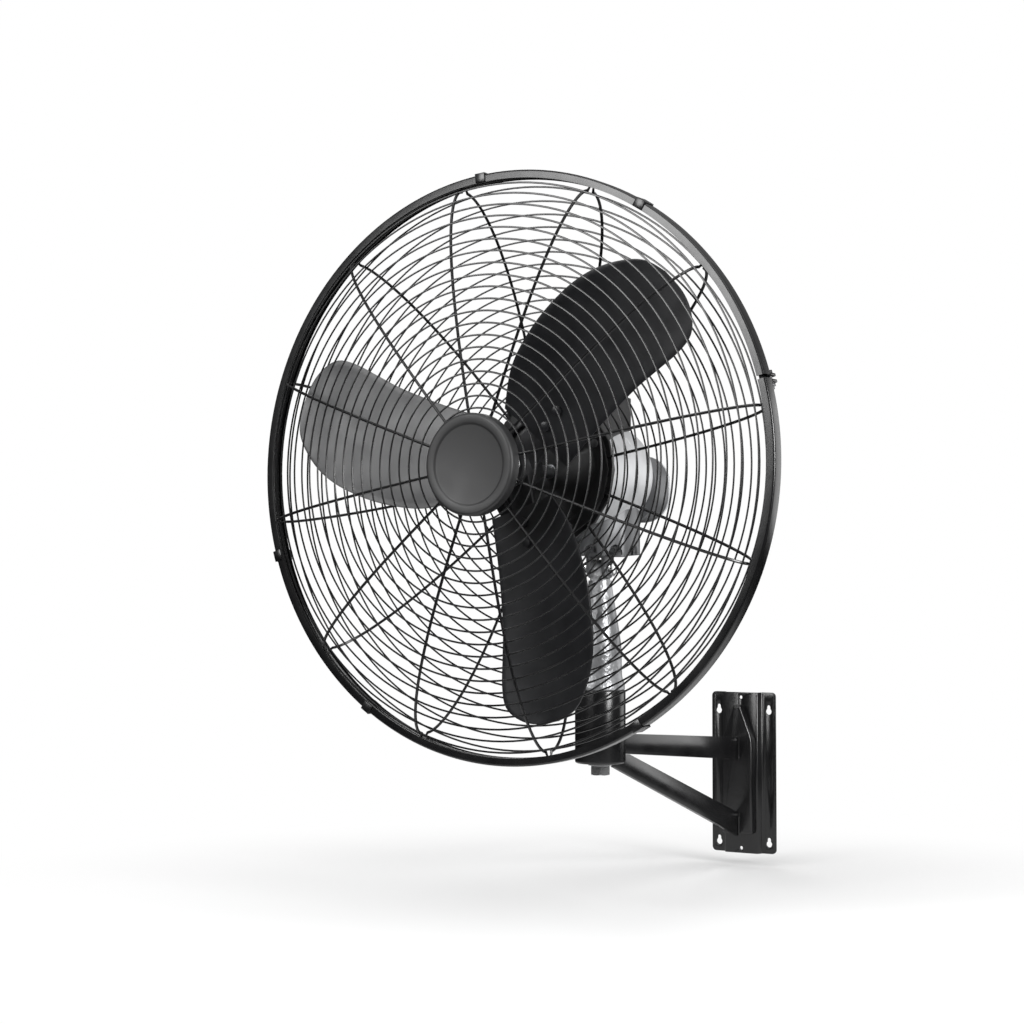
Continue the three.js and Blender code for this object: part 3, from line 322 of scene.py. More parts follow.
    def carve(self, *tools: "Solid", operation: str = "DIFFERENCE") -> "Solid":
        """Cuts this solid with others, or joins them to it.

        Args:
            tools: The other solids, which are used up.
            operation: DIFFERENCE, UNION or INTERSECT.

        Returns:
            This solid.
        """
        base = self._held("base")
        others = [tool._held("tool") for tool in tools]
        for other in others:
            step = base.modifiers.new("cut", "BOOLEAN")
            step.operation = operation
            step.solver = "EXACT"
            step.object = other
        graph = bpy.context.evaluated_depsgraph_get()
        result = bpy.data.meshes.new_from_object(base.evaluated_get(graph))
        self.mesh = bmesh.new()
        self.mesh.from_mesh(result)
        bmesh.ops.remove_doubles(self.mesh, verts=self.mesh.verts[:], dist=MERGE)
        bmesh.ops.dissolve_degenerate(self.mesh, edges=self.mesh.edges[:], dist=MERGE)
        bpy.data.meshes.remove(result)
        for held in (base, *others):
            mesh = held.data
            bpy.data.objects.remove(held)
            bpy.data.meshes.remove(mesh)
        return self

    def _held(self, name: str) -> bpy.types.Object:
        """Turns this solid into an object for a cut, and frees its bmesh.

        Args:
            name: The object's name.

        Returns:
            The object.
        """
        mesh = bpy.data.meshes.new(name)
        self.mesh.to_mesh(mesh)
        self.mesh.free()
        held = bpy.data.objects.new(name, mesh)
        bpy.context.scene.collection.objects.link(held)
        return held

    def soften(self, width: float, segments: int = 2, where: Callable[[Vector], bool] = lambda _: True,
               sharper: float = 30.0) -> "Solid":
        """Rounds this solid's sharp edges.

        Args:
            width: The rounding's width.
            segments: Faces across it.
            where: Which edges, by their middle.
            sharper: The least angle of an edge that is rounded, in degrees.

        Returns:
            This solid.
        """
        limit = math.radians(sharper)
        edges = [e for e in self.mesh.edges if len(e.link_faces) == 2 and e.calc_face_angle(0.0) > limit
                 and where((e.verts[0].co + e.verts[1].co) / 2)]
        bmesh.ops.bevel(self.mesh, geom=edges, offset=width, offset_type="OFFSET", segments=segments,
                        profile=0.5, affect="EDGES", clamp_overlap=True, material=-1)
        return self

    def spun(self, angle: float) -> "Solid":
        """Turns this solid about the fan's axis.

        Args:
            angle: How far, in degrees, from +X towards +Z.

        Returns:
            This solid.
        """
        turning = Matrix.Rotation(-math.radians(angle), 3, Axis.Y.value)
        bmesh.ops.rotate(self.mesh, cent=(0, 0, 0), matrix=turning, verts=self.mesh.verts[:])
        return self

    def piece(self, name: str, place: Triple, body: Body, finish: "Finish", *nodes: str) -> None:
        """Makes the finished piece.

        Args:
            name: The piece's name.
            place: Where the sub-assembly's frame lies in the fan's.
            body: The body that the piece rides on.
            finish: What its surface is.
            nodes: The frame's nodes that it stands for.
        """
        matrix = Matrix.Scale(MM, 4) @ Matrix.Translation(place)
        bmesh.ops.transform(self.mesh, matrix=matrix, verts=self.mesh.verts[:])
        for face in self.mesh.faces:
            face.smooth = True
        for edge in self.mesh.edges:
            edge.smooth = len(edge.link_faces) == 2 and edge.calc_face_angle(0.0) < SHARP
        mesh = bpy.data.meshes.new(name)
        self.mesh.to_mesh(mesh)
        self.mesh.free()
        made = bpy.data.objects.new(name, mesh)
        bpy.context.scene.collection.objects.link(made)
        finish.dress(made)
        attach(made, body.value)
        if nodes:
            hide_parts(*nodes)
        LOG.info("%s: %d faces", name, len(mesh.polygons))


# ---------------------------------------------------------------- finishes
@dataclass(frozen=True)
class Finish:
    """A surface: its colour and gloss, its grain, and how it has worn.

    Attributes:
        name: The material's name.
        slot: The record's material slot.
        colour: Its colour, linear.
        metallic: How far it is bare metal.
        roughness: Its roughness where it is clean.
        grain: The size of its grain, in millimetres.
        relief: How far the grain stands up, in millimetres.
        mottle: How far its brightness wanders, as a share.
        dust: How far dust shows on what faces up.
        brushed: How far the grain is drawn out along one way.
    """

    name: str
    slot: str
    colour: Triple
    metallic: float
    roughness: float
    grain: float
    relief: float
    mottle: float
    dust: float = 0.0
    brushed: float = 1.0

    def material(self) -> bpy.types.Material:
        """The finish's material, made once.

        Returns:
            The material.
        """
        known = bpy.data.materials.get(self.name)
        if known:
            return known
        made = bpy.data.materials.new(self.name)
        made.use_nodes = True
        nodes, links = made.node_tree.nodes, made.node_tree.links
        shader = nodes["Principled BSDF"]
        shader.inputs["Metallic"].default_value = self.metallic
        spread = nodes.new("ShaderNodeMapping")
        spread.inputs["Scale"].default_value = (1.0, 1.0, self.brushed)
        links.new(nodes.new("ShaderNodeTexCoord").outputs["Object"], spread.inputs["Vector"])

        def noise(size: float, detail: float, roughness: float = 0.5) -> bpy.types.NodeSocket:
            """A noise on the piece.

            Args:
                size: The size of its patches, in millimetres.
                detail: How many finer layers it has.
                roughness: How strong they are.

            Returns:
                Its values, as a socket.
            """
            node = nodes.new("ShaderNodeTexNoise")
            node.inputs["Scale"].default_value = 1 / (size * MM)
            node.inputs["Detail"].default_value = detail
            node.inputs["Roughness"].default_value = roughness
            links.new(spread.outputs["Vector"], node.inputs["Vector"])
            return node.outputs["Fac"]

        def ranged(source: bpy.types.NodeSocket, span: Pair, to: Pair) -> bpy.types.NodeSocket:
            """A socket's values carried from one range to another.

            Args:
                source: The socket.
                span: The range that they are taken from.
                to: The range that they are carried to.

            Returns:
                The new values, as a socket.
            """
            node = nodes.new("ShaderNodeMapRange")
            for socket, value in zip(RANGE_SOCKETS, (*span, *to)):
                node.inputs[socket].default_value = value
            links.new(source, node.inputs["Value"])
            return node.outputs["Result"]

        def mixed(share: bpy.types.NodeSocket, first: Triple | bpy.types.NodeSocket,
                  second: Triple) -> bpy.types.NodeSocket:
            """A colour between two others.

            Args:
                share: How far it is the second.
                first: The first, a colour or a socket.
                second: The second colour.

            Returns:
                The colour, as a socket.
            """
            node = nodes.new("ShaderNodeMix")
            node.data_type = "RGBA"
            links.new(share, node.inputs["Factor"])
            if isinstance(first, tuple):
                node.inputs["A"].default_value = (*first, 1)
            else:
                links.new(first, node.inputs["A"])
            node.inputs["B"].default_value = (*second, 1)
            return node.outputs["Result"]

        cloud = noise(CLOUD, 3.0)
        fine = noise(self.grain, 2.0, 0.6)
        gleam = 0.1 * self.mottle * self.metallic
        lighter = tuple(min(c * (1 + self.mottle) + gleam, 1.0) for c in self.colour)
        darker = tuple(c * (1 - self.mottle) for c in self.colour)
        colour = mixed(ranged(cloud, (0.3, 0.7), (0.0, 1.0)), darker, lighter)
        smooth, dull = (min(self.roughness * share, 1.0) for share in ROUGH_SPREAD)
        rough = ranged(cloud, (0.3, 0.7), (smooth, dull))
        if self.dust:
            upward = nodes.new("ShaderNodeSeparateXYZ")
            links.new(nodes.new("ShaderNodeNewGeometry").outputs["Normal"], upward.inputs["Vector"])
            settled = nodes.new("ShaderNodeMath")
            settled.operation = "MULTIPLY"
            links.new(ranged(upward.outputs["Z"], DUST_SLOPE, (0.0, self.dust)), settled.inputs[0])
            links.new(ranged(noise(DUST_PATCH, 4.0), (0.35, 0.65), (0.2, 1.0)), settled.inputs[1])
            colour = mixed(settled.outputs["Value"], colour, DUST)
        links.new(colour, shader.inputs["Base Color"])
        links.new(rough, shader.inputs["Roughness"])
        bump = nodes.new("ShaderNodeBump")
        bump.inputs["Strength"].default_value = 1.0
        bump.inputs["Distance"].default_value = self.relief * MM
        links.new(fine, bump.inputs["Height"])
        links.new(bump.outputs["Normal"], shader.inputs["Normal"])
        return made

    def dress(self, made: bpy.types.Object) -> None:
        """Gives an object this finish all over."""
        made.data.materials.clear()
        made.data.materials.append(self.material())


GUARD_PAINT = Finish("guard_black", "black_paint", (0.005, 0.005, 0.0054),
                     metallic=0.0, roughness=0.26, grain=0.9, relief=0.015, mottle=0.2, dust=0.03)
CAP_PAINT = Finish("cap_satin", "black_paint", (0.02, 0.02, 0.0205),
                   metallic=0.0, roughness=0.48, grain=0.5, relief=0.02, mottle=0.06, dust=0.03)
SHIELD_PAINT = Finish("shield_black", "black_paint", (0.006, 0.006, 0.0065),
                      metallic=0.0, roughness=0.4, grain=1.5, relief=0.04, mottle=0.15, dust=0.04)
BLADE_PAINT = Finish("blade_grey", "blade_paint", (0.008, 0.0083, 0.0096),
                     metallic=0.1, roughness=0.36, grain=2.5, relief=0.012, mottle=0.08, dust=0.03)
BRACKET_PAINT = Finish("bracket_black", "bracket_paint", (0.006, 0.006, 0.0064),
                       metallic=0.0, roughness=0.22, grain=6.0, relief=0.06, mottle=0.2, dust=0.03)
NECK_CAST = Finish("neck_cast", "cast_silver", (0.24, 0.243, 0.25),
                   metallic=0.5, roughness=0.36, grain=8.0, relief=1.5, mottle=0.5, dust=0.03)
MOTOR_CAST = Finish("motor_silver", "cast_silver", (0.54, 0.545, 0.555),
                    metallic=0.3, roughness=0.42, grain=2.2, relief=0.05, mottle=0.12, dust=0.04)
# Painted shade: the motor's cast silver, darkened to stand for the shade under the motor; used on the gear
# case and the tilt yoke.
SHADED_GEAR_CAST = Finish("gear_cast_painted_shade", "cast_silver", (0.13, 0.132, 0.137),
                   metallic=0.35, roughness=0.44, grain=2.6, relief=0.1, mottle=0.16, dust=0.04)
HUB_CAST = Finish("hub_cast", "cast_silver", (0.03, 0.03, 0.032),
                  metallic=0.6, roughness=0.36, grain=2.0, relief=0.06, mottle=0.3)
ZINC = Finish("zinc_plate", "zinc", (0.62, 0.625, 0.63),
              metallic=0.95, roughness=0.2, grain=1.0, relief=0.01, mottle=0.15, dust=0.02)
DARK_ZINC = Finish("dark_zinc", "zinc", (0.14, 0.14, 0.145),
                   metallic=0.9, roughness=0.34, grain=1.0, relief=0.01, mottle=0.2)
STEEL = Finish("turned_steel", "steel", (0.3, 0.305, 0.315),
               metallic=0.95, roughness=0.32, grain=1.4, relief=0.01, mottle=0.15, brushed=6.0)
COPPER = Finish("wound_copper", "copper", (0.42, 0.15, 0.06),
                metallic=0.8, roughness=0.38, grain=1.1, relief=0.2, mottle=0.25, brushed=0.2)
BRONZE = Finish("sintered_bronze", "bronze", (0.4, 0.26, 0.09),
                metallic=0.85, roughness=0.45, grain=0.7, relief=0.05, mottle=0.15)
PLASTIC = Finish("grained_plastic", "black_plastic", (0.007, 0.007, 0.0075),
                 metallic=0.0, roughness=0.5, grain=0.8, relief=0.06, mottle=0.12, dust=0.04)


def keep(node: str, finish: Finish) -> None:
    """Leaves one of the frame's own nodes in place, with a finish.

    Args:
        node: The node's name.
        finish: What its surface is.
    """
    finish.dress(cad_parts[node])
    LOG.info("%s kept, %s", node, finish.name)


def refine(node: str, body: Body, finish: Finish, width: float) -> None:
    """Makes a piece from a copy of a node, with its sharp edges rounded.

    Args:
        node: The node that is copied and stood for.
        body: The body that it rides on.
        finish: What its surface is.
        width: The rounding's width, in millimetres.
    """
    shape = Solid()
    shape.mesh.from_mesh(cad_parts[node].data)
    bmesh.ops.transform(shape.mesh, matrix=Matrix.Scale(1 / MM, 4), verts=shape.mesh.verts[:])
    bmesh.ops.remove_doubles(shape.mesh, verts=shape.mesh.verts[:], dist=MERGE)
    bmesh.ops.dissolve_limit(shape.mesh, angle_limit=math.radians(1), use_dissolve_boundaries=False,
                             verts=shape.mesh.verts[:], edges=shape.mesh.edges[:], delimit=set())
    shape.soften(width, 2, sharper=40)
    shape.piece(f"{node}_shown", PLATE_FRAME, body, finish, node)


# ---------------------------------------------------------------- the bracket on the wall
@dataclass
class WallBracket:
    """The welded bracket: wall plate, spine, two arms, collar and its bolt.

    Attributes:
        half_width: Half the plate's width.
        half_height: Half its height.
        flange: How far the middle's step lies from the plate's edge.
        rise: How far the middle stands off the wall.
        sheet: The pressed steel's thickness.
        corner: The radius of the plate's corners.
        keyhole_inset: How far its keyholes lie from its edge.
        keyhole_heights: Where their round ends lie.
        keyhole_radii: The radii of their round ends and of their narrow ones.
        keyhole_rise: How far a narrow end lies over its round one.
        lock_hole: The radius of the small holes at top and bottom.
        lock_inset: How far they lie from the plate's ends.
        spine_half: Half the spine's width.
        spine_low: The spine's lower end.
        spine_top: Its upper end.
        spine_front: How far the spine's face stands off the wall.
        arm_half: Half the arms' thickness.
        arm_roots: Where each arm's weld starts and ends on the spine.
        arm_ends: The same on the collar.
        bead: The weld beads' radius.
        collar_radius: The collar's outer radius.
        collar_wall: Its thickness.
        collar_bottom: The collar's lower end.
        collar_top: The collar's upper end.
        bolt_hole: The radius of the hole for the bolt.
        bolt: The bolt's radius.
        bolt_length: How far it reaches up from its head.
        bolt_corner: Its head's radius over the corners.
        bolt_head: Its head's height.
        washer: The washer's radius.
        washer_sheet: The washer's thickness.
    """

    half_width: float = 49.0
    half_height: float = 112.5
    flange: float = 21.0
    rise: float = 9.0
    sheet: float = 3.0
    corner: float = 6.0
    keyhole_inset: float = 10.5
    keyhole_heights: Pair = (86.0, -99.0)
    keyhole_radii: Pair = (4.6, 2.9)
    keyhole_rise: float = 6.0
    lock_hole: float = 2.5
    lock_inset: float = 7.0
    spine_half: float = 23.0
    spine_low: float = -84.0
    spine_top: float = 95.0
    spine_front: float = 26.3
    arm_half: float = 3.0
    arm_roots: tuple[Pair, Pair] = ((20.5, 49.5), (-86.0, -55.5))
    arm_ends: tuple[Pair, Pair] = ((53.0, 76.0), (43.0, 52.0))
    bead: float = 1.9
    collar_radius: float = 31.5
    collar_wall: float = 4.5
    collar_bottom: float = 42.0
    collar_top: float = 132.6
    bolt_hole: float = 8.3
    bolt: float = 8.0
    bolt_length: float = 34.0
    bolt_corner: float = 13.3
    bolt_head: float = 11.5
    washer: float = 15.0
    washer_sheet: float = 2.5

    def build(self) -> None:
        """Makes every piece of the bracket."""
        self.wall_plate()
        self.spine()
        self.arms()
        self.collar()
        self.bolt_and_washer()

    def wall_plate(self) -> None:
        """The plate: a hat section with round corners, keyholes and two small holes."""
        half, step = self.half_width, self.half_width - self.flange
        web = step - 4
        section = [(half, 0), (step, 0), (web, -self.rise), (-web, -self.rise), (-step, 0), (-half, 0),
                   (-half, -self.sheet), (-step - 1, -self.sheet), (-web - 1, -self.rise - self.sheet),
                   (web + 1, -self.rise - self.sheet), (step + 1, -self.sheet), (half, -self.sheet)]
        plate = Solid().prism(Axis.Z, section, -self.half_height, self.half_height)
        plate.soften(1.6, 3, lambda p: abs(p.x) < half - 1 and abs(p.z) < self.half_height - 1)
        corners = Solid().prism(Axis.Y, rounded(0, 0, half, self.half_height, self.corner), -40, 10)
        plate.carve(corners, operation="INTERSECT")
        tools = []
        wide, narrow = self.keyhole_radii
        for side in (-1, 1):
            u = side * (half - self.keyhole_inset)
            for height in self.keyhole_heights:
                keyhole = arc((u, height), wide, 130, 410, 20)
                keyhole += arc((u, height + self.keyhole_rise), narrow, 0, 180, 12)
                tools.append(Solid().prism(Axis.Y, keyhole, -10, 5))
            middle = (0, 0, side * (self.half_height - self.lock_inset))
            tools.append(Solid().rod(Axis.Y, self.lock_hole, -20, 5, middle, steps=24))
        plate.carve(*tools)
        plate.soften(0.35, 2, lambda p: p.y < -0.5, 50)
        plate.piece("wall_plate_shown", PLATE_FRAME, Body.BRACKET, BRACKET_PAINT, "wall_plate")

    def spine_outline(self, inset: float) -> list[Pair]:
        """The spine's outline seen from the front.

        Args:
            inset: How far it is drawn in all round.

        Returns:
            The outline.
        """
        half, tip = self.spine_half - inset, 6 - inset / 2
        low, top = self.spine_low + inset, self.spine_top - inset
        lower = arc((half - 3, low + 3), 3, -90, 0, 4) + [(half, 44)]
        upper = [(half - 2.4, 54), (tip + 1, top - 6)] + arc((tip - 3, top - 3), 3, 10, 90, 4)
        right = lower + upper
        return right + [(-u, v) for u, v in reversed(right)]

    def spine(self) -> None:
        """The spine: a pressed cover with a rounded edge, hollow behind, welded to the plate."""
        back = -self.rise - self.sheet - 0.3
        cover = Solid().prism(Axis.Y, self.spine_outline(0), -self.spine_front, back)
        cover.soften(3.0, 4, lambda p: p.y < -self.spine_front + 0.5)
        hollow = self.spine_outline(self.sheet)
        cover.carve(Solid().prism(Axis.Y, hollow, -self.spine_front + self.sheet, back + 2))
        cover.piece("plate_spine_shown", PLATE_FRAME, Body.BRACKET, BRACKET_PAINT, "plate_spine")

    def arms(self) -> None:
        """Both arms, with eased edges, and the weld beads at their ends."""
        for node in ("upper_arm", "lower_arm"):
            refine(node, Body.BRACKET, BRACKET_PAINT, 0.7)
        beads = Solid()
        front = -self.spine_front - 0.2
        for low, high in self.arm_roots:
            for side in (-1, 1):
                x = side * (self.arm_half + 0.6)
                beads.wire([(x + 0.25 * math.sin(2.3 * i), front, low + (high - low) * i / 14)
                            for i in range(15)], self.bead)
        reach = NECK_FRAME[1] + math.sqrt(self.collar_radius**2 - self.arm_half**2)
        for low, high in self.arm_ends:
            for side in (-1, 1):
                x = side * (self.arm_half + 0.5)
                beads.wire([(x, reach, low + (high - low) * i / 12) for i in range(13)], self.bead)
        beads.piece("weld_beads", PLATE_FRAME, Body.BRACKET, BRACKET_PAINT)

    def collar(self) -> None:
        """The collar: a turned cup with rounded rims."""
        r, low, top = self.collar_radius, self.collar_bottom, self.collar_top
        inner, floor, hole = r - self.collar_wall, low + 5, self.bolt_hole
        profile = [(hole, low), *[(r - 3 + u, low + 3 + v) for u, v in arc((0, 0), 3, -90, 0, 6)],
                   *[(r - 1 + u, top - 1 + v) for u, v in arc((0, 0), 1, 0, 90, 4)],
                   (inner + 0.6, top), (inner, top - 0.6), (inner, floor), (hole, floor), (hole, low)]
        Solid().turn(Axis.Z, profile).piece("mounting_collar_shown", NECK_FRAME, Body.BRACKET,
                                            BRACKET_PAINT, "mounting_collar")

    def bolt_and_washer(self) -> None:
        """The bolt from below with its chamfered head and shank, and the washer."""
        seat = self.collar_bottom - 3.1
        end, r = seat - self.bolt_head, self.bolt_corner
        bolt = Solid().prism(Axis.Z, hexagon(r), end, seat)
        chamfer = [(0, end), (r - 1.7, end), (r + 0.3, end + 1.5), (r + 0.3, seat), (0, seat)]
        bolt.carve(Solid().turn(Axis.Z, chamfer), operation="INTERSECT")
        shank = Solid().rod(Axis.Z, self.bolt, seat - 1, seat + self.bolt_length, ease=0.8)
        bolt.carve(shank, operation="UNION")
        bolt.piece("collar_bolt_shown", NECK_FRAME, Body.BRACKET, ZINC, "collar_bolt")
        top = self.collar_bottom - 0.3
        low, r, hole = top - self.washer_sheet, self.washer, self.bolt_hole
        washer = [(hole, low), (r - 0.5, low), (r, low + 0.5), (r, top - 0.4), (r - 0.4, top), (hole, top),
                  (hole, low)]
        Solid().turn(Axis.Z, washer).piece("collar_washer_shown", NECK_FRAME, Body.BRACKET, ZINC,
                                           "collar_washer")


# ---------------------------------------------------------------- neck and tilt joint
@dataclass
class Neck:
    """The cast neck and the tilting yoke on top of it.

    Attributes:
        base: Where the neck's lip rests, on the collar.
        foot: The lower end of the spigot in the collar.
        spigot: The spigot's radius.
        bore: The radius of the bolt's thread in it.
        bore_top: Where the thread ends.
        taper: The neck's outline over its lip, as (radius, height) pairs.
        tilt: The tilt bolt's height.
        eye: The radius of the round ends about the tilt bolt.
        eye_drop: How far the lower end lies under the bolt.
        tongue: Half the tongue's thickness.
        tilt_hole: The radius of the hole for the tilt bolt.
    """

    base: float = 132.9
    foot: float = 47.4
    spigot: float = 26.7
    bore: float = 8.3
    bore_top: float = 80.0
    taper: tuple[Pair, ...] = ((30.7, 8.5), (27.4, 16), (27, 30), (26, 57), (20.3, 95), (15.6, 124),
                               (14.5, 136))
    tilt: float = 283.0
    eye: float = 12.0
    eye_drop: float = 24.0
    tongue: float = 8.0
    tilt_hole: float = 5.3

    def build(self) -> None:
        """Makes the neck, the yoke, the tilt bolt and its nut."""
        self.post()
        # The yoke gets the darkened cast silver, painted shade for the shade under the motor.
        refine("tilt_yoke", Body.YOKE, SHADED_GEAR_CAST, 0.8)
        refine("tilt_bolt", Body.YOKE, ZINC, 0.4)
        refine("tilt_nut", Body.YOKE, ZINC, 0.4)
        keep("pivot_spindle", STEEL)

    def post(self) -> None:
        """The neck: a spigot, a lip, a long taper and the tongue under the yoke."""
        lip, foot, r = self.base, self.foot, self.spigot
        taper = spline([(radius, lip + height) for radius, height in self.taper], 26)
        profile = [(0, self.bore_top), (self.bore, self.bore_top), (self.bore, foot), (r - 1, foot),
                   (r, foot + 1), (r, lip), (r + 3, lip), (r + 4, lip + 1), *taper,
                   (0, lip + self.taper[-1][1])]
        post = Solid().turn(Axis.Z, profile)
        outline = stadium((0, self.tilt), (0, self.tilt - self.eye_drop), self.eye)
        tongue = Solid().prism(Axis.X, outline, -self.tongue, self.tongue).soften(0.8, 2)
        post.carve(tongue, operation="UNION")
        post.carve(Solid().rod(Axis.X, self.tilt_hole, -20, 20, (0, 0, self.tilt)))
        post.piece("neck_post_shown", NECK_FRAME, Body.BRACKET, NECK_CAST, "neck_post")


# ---------------------------------------------------------------- the cage
@dataclass(frozen=True)
class Dome:
    """The form that a guard's wires follow, off the hoop's middle plane.

    Attributes:
        side: -1 in front, 1 behind.
        inner: The radius of the inner ring.
        outer: The radius where the dome meets the hoop.
        start: Its depth there.
        depth: How much deeper its middle is.
        flat: How flat its middle is.
        round: How round its shoulder is.
        rings: How many rings lie on it.
    """

    side: int
    inner: float
    outer: float
    start: float
    depth: float
    flat: float
    round: float
    rings: int

    def height(self, radius: float) -> float:
        """How far the wires stand off the hoop's plane at a radius."""
        inside = max(0.0, 1 - (min(radius, self.outer) / self.outer) ** self.flat)
        return self.start + self.depth * inside ** (1 / self.round)

    def normal(self, radius: float) -> Pair:
        """Which way is outwards.

        Args:
            radius: The radius where it is asked.

        Returns:
            The way's parts along radius and height.
        """
        step = 0.5
        rise = (self.height(radius + step) - self.height(radius - step)) / (2 * step)
        length = math.hypot(1, rise)
        return -rise / length, 1 / length

    def off(self, radius: float, lift: float) -> Pair:
        """A place over or under the dome at a radius, as (radius, height)."""
        out, up = self.normal(radius)
        return radius + out * lift, self.height(radius) + up * lift


FRONT_DOME = Dome(-1, 51.0, 331.5, 6.5, 57.5, 3.5, 1.8, 21)
REAR_DOME = Dome(1, 81.0, 331.5, 6.5, 90.5, 2.9, 1.7, 19)


@dataclass
class Cage:
    """Both wire guards, the hoop that joins them, its clips, and the cap in front.

    Attributes:
        wire: The rings' wire radius.
        rib: The ribs' wire radius.
        ribs: How many ribs each guard has.
        first_rib: Where the first one lies, in degrees.
        rim_radius: Where the rim wires lie in the hoop.
        rim_wire: The rim wires' own radius.
        rim_off: How far they lie from the hoop's middle plane.
        hoop: The hoop's outer radius.
        half: Half its width.
        lip: How far its lips reach in.
        sheet: Its thickness.
        bend: The radius of its corners.
        joint: Where its ends are screwed together, in degrees.
        slit: Half the gap between its ends.
        clips: How many clips sit on it.
        cap: The cap's radius.
        cap_face: The radius of its dished face.
        cap_front: Where its rolled edge is foremost.
        cap_seat: Where its skirt ends.
        cap_roll: The radius of its rolled edge.
        cap_sheet: Its thickness.
        cap_stud: The radius of the stud behind it.
        cap_stud_end: Where the stud ends.
    """

    wire: float = 1.15
    rib: float = 1.75
    ribs: int = 12
    first_rib: float = 10.0
    rim_radius: float = 337.4
    rim_wire: float = 1.7
    rim_off: float = 3.6
    hoop: float = 345.0
    half: float = 9.0
    lip: float = 9.5
    sheet: float = 1.6
    bend: float = 2.5
    joint: float = 15.0
    slit: float = 2.0
    clips: int = 5
    cap: float = 58.5
    cap_face: float = 46.0
    cap_front: float = -80.7
    cap_seat: float = -65.65
    cap_roll: float = 4.0
    cap_sheet: float = 1.6
    cap_stud: float = 4.0
    cap_stud_end: float = -52.2

    def build(self) -> None:
        """Makes the guards, the hoop and what fastens them."""
        self.guard("front_guard", FRONT_DOME)
        self.guard("rear_guard", REAR_DOME)
        self.rim()
        self.fasteners()
        self.front_cap()
        self.clamp_ring()

    def guard(self, name: str, dome: Dome) -> None:
        """A guard: rings of wire outside, ribs welded under them, and a rim wire in the hoop.

        Args:
            name: The guard's node.
            dome: The form that its wires follow.
        """
        body = Solid()
        for k in range(dome.rings):
            radius = dome.inner + (dome.outer - 3 - dome.inner) * k / (dome.rings - 1)
            r, h = dome.off(radius, 0.2 * self.wire)
            self.ring(body, r, dome.side * h, self.wire, 10 if k == 0 else 6)
        self.ring(body, self.rim_radius, dome.side * self.rim_off, self.rim_wire, 8)
        stations = [dome.inner - 1 + (dome.outer - dome.inner + 1) * math.sin(math.pi / 2 * i / 40)
                    for i in range(41)]
        for k in range(self.ribs):
            angle = math.radians(self.first_rib + 360 / self.ribs * k)
            line = [dome.off(r, -0.45 * self.rib) for r in stations]
            line.append((self.rim_radius - 0.4, self.rim_off))
            body.wire([(r * math.cos(angle), dome.side * h, r * math.sin(angle)) for r, h in line], self.rib)
        body.piece(f"{name}_wires", HEAD_FRAME, Body.HEAD, GUARD_PAINT, name)

    @staticmethod
    def ring(body: Solid, radius: float, station: float, wire: float, sides: int) -> None:
        """Adds a ring of round wire about the fan's axis."""
        section = arc((radius, station), wire, 0, 360, sides)
        body.turn(Axis.Y, [*section[:-1], section[0]], steps=144)

    def rim(self) -> None:
        """The hoop: a rolled channel with rounded corners, slit and lugged at its joint."""
        r, w, t, b = self.hoop, self.half, self.sheet, self.bend
        outer = [(r - self.lip, -w), *[(r - b + u, -w + b + v) for u, v in arc((0, 0), b, -90, 0, 5)],
                 *[(r - b + u, w - b + v) for u, v in arc((0, 0), b, 0, 90, 5)], (r - self.lip, w)]
        inner = [(r - self.lip, w - t), (r - t - 1, w - t), (r - t, w - t - 1), (r - t, -w + t + 1),
                 (r - t - 1, -w + t), (r - self.lip, -w + t)]
        channel = Solid().turn(Axis.Y, [*outer, *inner, outer[0]], steps=240)
        lugs = Solid()
        for side in (-1, 1):
            low, high = sorted((side * self.slit, side * (self.slit + 3)))
            lugs.prism(Axis.Z, rounded(r - 5.7, w + 7, 5.2, 8, 2.5, 4), low, high)
        lugs.soften(0.4, 2)
        channel.carve(lugs.spun(self.joint), operation="UNION")
        gap = [(r - 25, -self.slit), (r + 15, -self.slit), (r + 15, self.slit), (r - 25, self.slit)]
        channel.carve(Solid().prism(Axis.Y, gap, -15, 30).spun(self.joint))
        channel.piece("guard_hoop_shown", HEAD_FRAME, Body.HEAD, GUARD_PAINT, "guard_hoop")

    def fasteners(self) -> None:
        """The clamp screw and nut at the hoop's joint, and the clips round it."""
        for node in ("hoop_screw", "hoop_nut"):
            refine(node, Body.HEAD, DARK_ZINC, 0.35)
        for number in range(self.clips):
            refine(f"hoop_clip_{number + 1}", Body.HEAD, GUARD_PAINT, 0.45)

    def front_cap(self) -> None:
        """The cap: a shallow dish with a rolled edge, its plate behind and the nut."""
        front, face, r, bend, t = self.cap_front, self.cap_face, self.cap, self.cap_roll, self.cap_sheet
        roll = [(r - bend + u, front + bend - v) for u, v in arc((0, 0), bend, 90, 0, 8)]
        groove = [(face - 1.5, front + t), (face - 0.5, front + 1.4), (face + 0.6, front + 0.4),
                  (face + 1.6, front)]
        profile = [(0, front + t), *groove, *roll, (r, self.cap_seat), (r - t, self.cap_seat),
                   (r - t, front + 5), (r - 5, front + t), (face + 2, front + t), (face, front + 2 * t),
                   (self.cap_stud, front + 2 * t), (self.cap_stud, self.cap_stud_end), (0, self.cap_stud_end)]
        Solid().turn(Axis.Y, profile, steps=160).piece("front_cap_shown", HEAD_FRAME, Body.HEAD, CAP_PAINT,
                                                       "front_cap")
        keep("cap_backplate", ZINC)
        keep("cap_nut", ZINC)

    def clamp_ring(self) -> None:
        """The ring that holds the rear guard to the motor, and its screws."""
        refine("guard_clamp_ring", Body.HEAD, SHIELD_PAINT, 0.5)
        for number in range(4):
            refine(f"clamp_screw_{number + 1}", Body.HEAD, DARK_ZINC, 0.4)


